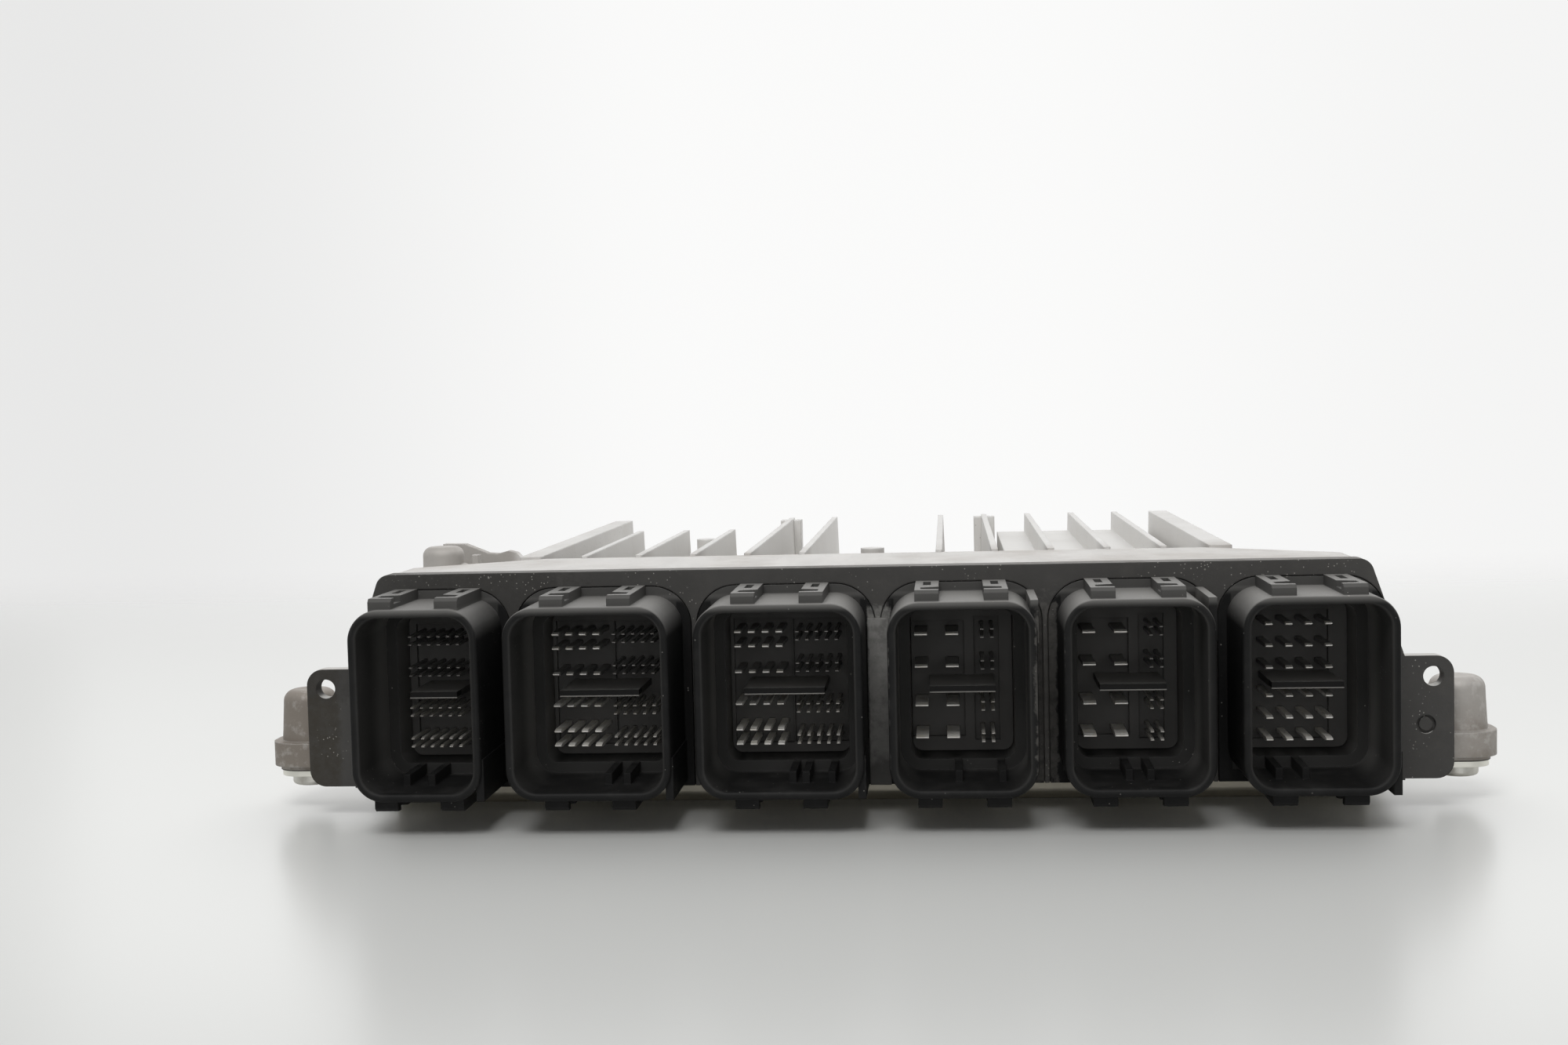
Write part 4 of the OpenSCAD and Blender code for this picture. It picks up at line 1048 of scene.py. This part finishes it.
@dataclass(frozen=True)
class Floor:
    """A pale floor in metres, which fades out behind the unit, beside it and far ahead."""

    half: float = 2.0
    far: float = 0.6
    tint: Colour = (0.64, 0.645, 0.63)
    roughness: float = 0.28
    gloss: float = 0.4
    clouds: Waves = Waves(3.0)
    behind_y: Ramp = (0.08, 0.5)
    beside_x: Ramp = (0.4, 0.95)
    ahead_y: Ramp = (-0.95, -0.4)
    near_y: Ramp = (-0.32, -0.1)
    near_shade: float = 0.32

    def material(self) -> bpy.types.Material:
        """Fills a new material.

        Returns:
            The floor's finish.
        """
        material, g = fresh("pale_floor")
        place = g.node("ShaderNodeTexCoord", out="Object")
        across, depth = (g.axis(place, index) for index in (X, Y))
        beside = abs(across).step(*self.beside_x)
        ahead = 1.0 - depth.step(*self.ahead_y)
        away = depth.step(*self.behind_y).at_least(beside).at_least(ahead)
        near = 1.0 - depth.step(*self.near_y)
        cloud = g.noise(place, self.clouds)
        colour = g.dim(self.tint, cloud.span(0.98, 1.02) - near * self.near_shade)
        shader = g.node(
            "ShaderNodeBsdfPrincipled",
            {},
            {"Base Color": colour, "Roughness": self.roughness, "Specular IOR Level": self.gloss},
        )
        clear = g.node("ShaderNodeBsdfTransparent")
        blend = g.node("ShaderNodeMixShader", {}, {0: away, 1: shader, 2: clear})
        g.node("ShaderNodeOutputMaterial", {}, {"Surface": blend})
        return material

    def lay(self) -> None:
        """Lays the floor under the unit."""
        half, far = self.half, self.far
        mesh = bpy.data.meshes.new("floor")
        corners = [(-half, -half, 0), (half, -half, 0), (half, far, 0), (-half, far, 0)]
        mesh.from_pydata(corners, [], [(0, 1, 2, 3)])
        piece = bpy.data.objects.new("floor", mesh)
        bpy.context.scene.collection.objects.link(piece)
        mesh.materials.append(self.material())


@dataclass(frozen=True)
class Camera:
    """The camera that took the picture: its place in millimetres and its turns in radians."""

    place: Place = (15.63, -415.2, 76.2)
    yaw: float = 0.0853
    pitch: float = -0.0629
    roll: float = 0.0244
    focal_px: float = 2460.4
    image_w: float = 2000.0
    sensor_mm: float = 36.0
    clip: Pair = (0.01, 20.0)

    def set_up(self) -> None:
        """Puts the camera in the scene."""
        data = bpy.data.cameras.new("camera")
        data.sensor_width = self.sensor_mm
        data.sensor_fit = "HORIZONTAL"
        data.lens = self.focal_px / self.image_w * self.sensor_mm
        data.clip_start, data.clip_end = self.clip
        camera = bpy.data.objects.new("camera", data)
        turn = (
            Matrix.Rotation(self.yaw, 4, "Z")
            @ Matrix.Rotation(self.pitch, 4, "X")
            @ Matrix.Rotation(self.roll, 4, "Y")
            @ Matrix.Rotation(math.pi / 2, 4, "X")
        )
        camera.matrix_world = Matrix.Translation(Vector(self.place) * MM) @ turn
        bpy.context.scene.collection.objects.link(camera)
        bpy.context.scene.camera = camera


@dataclass(frozen=True)
class Backdrop:
    """White paper behind the unit, and the plain light that the world gives."""

    tint: tuple[float, float, float, float] = (1.0, 1.0, 0.995, 1.0)
    light: float = 0.48
    front_share: float = 0.6
    rear_y: Ramp = (-0.55, 0.35)
    paper: float = 0.81
    rise: float = 0.15
    rise_x: Ramp = (-0.42, -0.12)
    fall: float = 0.05
    fall_x: Ramp = (0.02, 0.3)

    def hang(self) -> None:
        """Lights the world and shows it white behind the unit and in its reflections."""
        world = bpy.data.worlds.new("studio")
        bpy.context.scene.world = world
        g = Graph(world)
        heading = g.node("ShaderNodeTexCoord", out="Generated")
        side = g.axis(heading, X)
        rear = g.axis(heading, Y).step(*self.rear_y)
        direct, through, mirrored = (
            g.node("ShaderNodeLightPath", out=f"Is {kind} Ray")
            for kind in ("Camera", "Transmission", "Glossy")
        )
        white = (direct + through + mirrored * rear).at_most(1.0)
        brighter = side.step(*self.rise_x) * self.rise
        paper = self.paper + brighter - side.step(*self.fall_x) * self.fall
        lit = rear.span(self.front_share, 1.0) * self.light
        level = white * paper + (1.0 - white) * lit
        shade = g.node("ShaderNodeBackground", {}, {"Color": self.tint, "Strength": level})
        g.node("ShaderNodeOutputWorld", {}, {"Surface": shade})


@dataclass(frozen=True)
class Studio:
    """Camera, white backdrop, pale floor and soft lamps."""

    camera: Camera = Camera()
    backdrop: Backdrop = Backdrop()
    floor: Floor = Floor()
    lamps: tuple[Lamp, ...] = (
        Lamp("overhead_softbox", (0.0, 0.25, 0.95), (0.0, 0.05, 0.0), (1.4, 1.2), 3.6),
        Lamp("rear_softbox", (0.1, 1.25, 0.65), (0.0, 0.0, 0.03), (2.0, 0.8), 4.2),
        Lamp("steep_front", (-0.1, -0.66, 0.84), (0.0, -0.06, 0.02), (0.5, 0.4), 4.8),
        Lamp("front_fill", (0.08, -1.6, 0.3), (0.0, -0.06, 0.02), (1.2, 0.5), 2.3),
    )

    def build(self) -> None:
        """Sets up the whole studio."""
        bpy.context.scene.view_settings.view_transform = "Standard"
        self.camera.set_up()
        self.backdrop.hang()
        self.floor.lay()
        for lamp in self.lamps:
            lamp.hang()


SOCKETS = (
    "signal_socket",
    "left_mixed_socket",
    "right_mixed_socket",
    "left_blade_socket",
    "right_blade_socket",
    "power_socket",
)
CONTACT_PLATES = tuple(name.replace("socket", "contact_plate") for name in SOCKETS)
LOAD_CONTACTS = (
    "left_mixed_load_pins",
    "right_mixed_load_pins",
    "left_socket_blades",
    "right_socket_blades",
    "power_socket_pins",
)
SIGNAL_CONTACTS = (
    "signal_socket_pins",
    "left_mixed_signal_pins",
    "right_mixed_signal_pins",
    "left_blade_signal_pins",
    "right_blade_signal_pins",
)

# Dust in the gap between the right mixed socket and the left blade socket, with painted light
# where the gap lies in shade; it fades towards its foot
GAP_DUST_AND_PAINTED_LIGHT = DustAndPaintedLightPatch(
    middle=(2.6, 24.0),
    half=(2.1, 14.0),
    colour=(0.3, 0.295, 0.28),
    strength=0.9,
    ragged=0.5,
    fade=0.6,
)
# Painted light in the shadowed gap between the two blade sockets, with a little dust
SIDE_GAP_DUST_AND_PAINTED_LIGHT = DustAndPaintedLightPatch(
    middle=(32.4, 22.0),
    half=(2.4, 17.0),
    colour=(0.17, 0.162, 0.15),
    strength=0.5,
    ragged=1.0,
)
LEFT_EAR_SHADE = DustAndPaintedLightPatch(
    middle=(-106.0, 18.0),
    half=(7.0, 16.0),
    colour=(0.04, 0.034, 0.025),
    strength=0.7,
    ragged=0.4,
)
LEFT_FRAME_SHADE = DustAndPaintedLightPatch(
    middle=(-88.0, 36.0),
    half=(34.0, 14.0),
    colour=(0.042, 0.04, 0.037),
    strength=0.6,
    ragged=0.8,
)


def shell_parts() -> list[SubAssembly]:
    """The casting, the pan and the mouldings of the socket row."""
    return [
        SubAssembly(
            ("cooling_housing",),
            CastMetal(
                "cast_aluminium",
                tint=(0.6, 0.585, 0.565),
                stain=(0.42, 0.38, 0.34),
                stain_share=0.5,
                roughness=0.58,
                pit_depth=0.05,
                metallic=0.3,
            ),
            "cast_aluminium",
        ),
        SubAssembly(
            ("base_pan",),
            RolledSheet("pressed_sheet", tint=(0.5, 0.47, 0.39), roughness=0.45),
            "pressed_sheet",
        ),
        SubAssembly(
            ("connector_frame",),
            MouldedPlastic(
                "frame_plastic",
                tint=(0.066, 0.064, 0.061),
                roughness=0.55,
                grain_depth=0.025,
                film=0.45,
                speck_share=0.6,
                edge_wear_and_highlight=0.6,
                edge_mm=0.35,
                dust_and_sheen=0.5,
                dust_and_sheen_from=22.0,
                ledge=0.85,
                patches=(GAP_DUST_AND_PAINTED_LIGHT, SIDE_GAP_DUST_AND_PAINTED_LIGHT, LEFT_EAR_SHADE, LEFT_FRAME_SHADE),
            ),
            "frame_plastic",
        ),
        SubAssembly(
            SOCKETS,
            MouldedPlastic(
                "socket_plastic",
                tint=(0.01, 0.01, 0.01),
                roughness=0.55,
                grain_depth=0.018,
                film=0.08,
                speck_share=0.12,
                edge_wear_and_highlight=0.15,
                dust_and_painted_light=(0.225, 0.22, 0.21),
                gloss=0.13,
                dust_and_sheen=0.8,
                inside=0.36,
                mouth=0.13,
                lip=0.42,
                patches=(GAP_DUST_AND_PAINTED_LIGHT, SIDE_GAP_DUST_AND_PAINTED_LIGHT),
            ),
            "socket_plastic",
            rim_mm=0.65,
            recess=LatchRecess(),
        ),
        SubAssembly(
            CONTACT_PLATES,
            MouldedPlastic(
                "plate_plastic",
                tint=(0.115, 0.112, 0.108),
                roughness=0.5,
                grain_depth=0.015,
                film=0.05,
                gloss=0.12,
                # Painted shade on the guide tongue, a painted highlight along its lower edge, and
                # dust with painted light on its top
                tongue=0.9,
                tongue_line=1.0,
                shelf=0.5,
            ),
            "plate_plastic",
        ),
    ]


def metal_parts() -> list[SubAssembly]:
    """The contacts and the screws."""
    return [
        SubAssembly(
            LOAD_CONTACTS,
            PlatedMetal(
                "load_contact_tin",
                tint=(0.95, 0.93, 0.88),
                tarnish=(0.8, 0.74, 0.62),
                roughness=0.36,
                metallic=0.25,
                shaft_shade=0.95,
            ),
            "contact_metal",
        ),
        SubAssembly(
            SIGNAL_CONTACTS,
            PlatedMetal(
                "signal_contact_tin",
                tint=(0.6, 0.58, 0.54),
                tarnish=(0.45, 0.42, 0.35),
                roughness=0.36,
                metallic=0.3,
                shaft_shade=0.95,
                least_shade=0.75,
            ),
            "contact_metal",
        ),
        SubAssembly(
            ("base_screws", "board_screws"),
            PlatedMetal(
                "screw_zinc",
                tint=(0.6, 0.59, 0.55),
                tarnish=(0.45, 0.42, 0.36),
                roughness=0.35,
            ),
            "screw_steel",
        ),
    ]


def inner_parts() -> list[SubAssembly]:
    """The seals, the circuit board and what it carries."""
    return [
        SubAssembly(
            ("frame_seal", "base_seal"),
            MattBody(
                "seal_rubber",
                tint=(0.09, 0.09, 0.1),
                second=(0.13, 0.13, 0.14),
                roughness=0.7,
                rate=0.3,
            ),
            "seal_rubber",
        ),
        SubAssembly(
            ("circuit_board",),
            MattBody(
                "board_laminate",
                tint=(0.02, 0.11, 0.05),
                second=(0.035, 0.15, 0.08),
                roughness=0.4,
                rate=0.4,
            ),
            "board_laminate",
        ),
        SubAssembly(
            ("processor", "memory_chip", "driver_chips", "pressure_sensor"),
            MattBody(
                "chip_moulding",
                tint=(0.025, 0.025, 0.028),
                second=(0.04, 0.04, 0.043),
                roughness=0.5,
                rate=0.6,
            ),
            "chip_moulding",
        ),
        SubAssembly(
            ("buffer_capacitors",),
            MattBody(
                "capacitor_can",
                tint=(0.3, 0.32, 0.38),
                second=(0.4, 0.42, 0.47),
                roughness=0.35,
                rate=0.2,
                metallic=0.8,
            ),
            "capacitor_can",
        ),
        SubAssembly(
            ("coils",),
            MattBody(
                "coil_core",
                tint=(0.08, 0.08, 0.09),
                second=(0.12, 0.12, 0.13),
                roughness=0.6,
                rate=0.5,
                metallic=0.2,
            ),
            "coil_core",
        ),
        SubAssembly(
            ("thermal_pads",),
            MattBody(
                "pad_silicone",
                tint=(0.36, 0.38, 0.45),
                second=(0.44, 0.46, 0.52),
                roughness=0.75,
                rate=0.5,
            ),
            "pad_silicone",
        ),
    ]


def main() -> None:
    """Loads the frame, dresses every sub-assembly and sets up the studio."""
    logging.basicConfig(level=logging.INFO)
    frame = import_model()
    for part in (*shell_parts(), *metal_parts(), *inner_parts()):
        part.dress(frame)
    Studio().build()


if __name__ == "__main__":
    main()
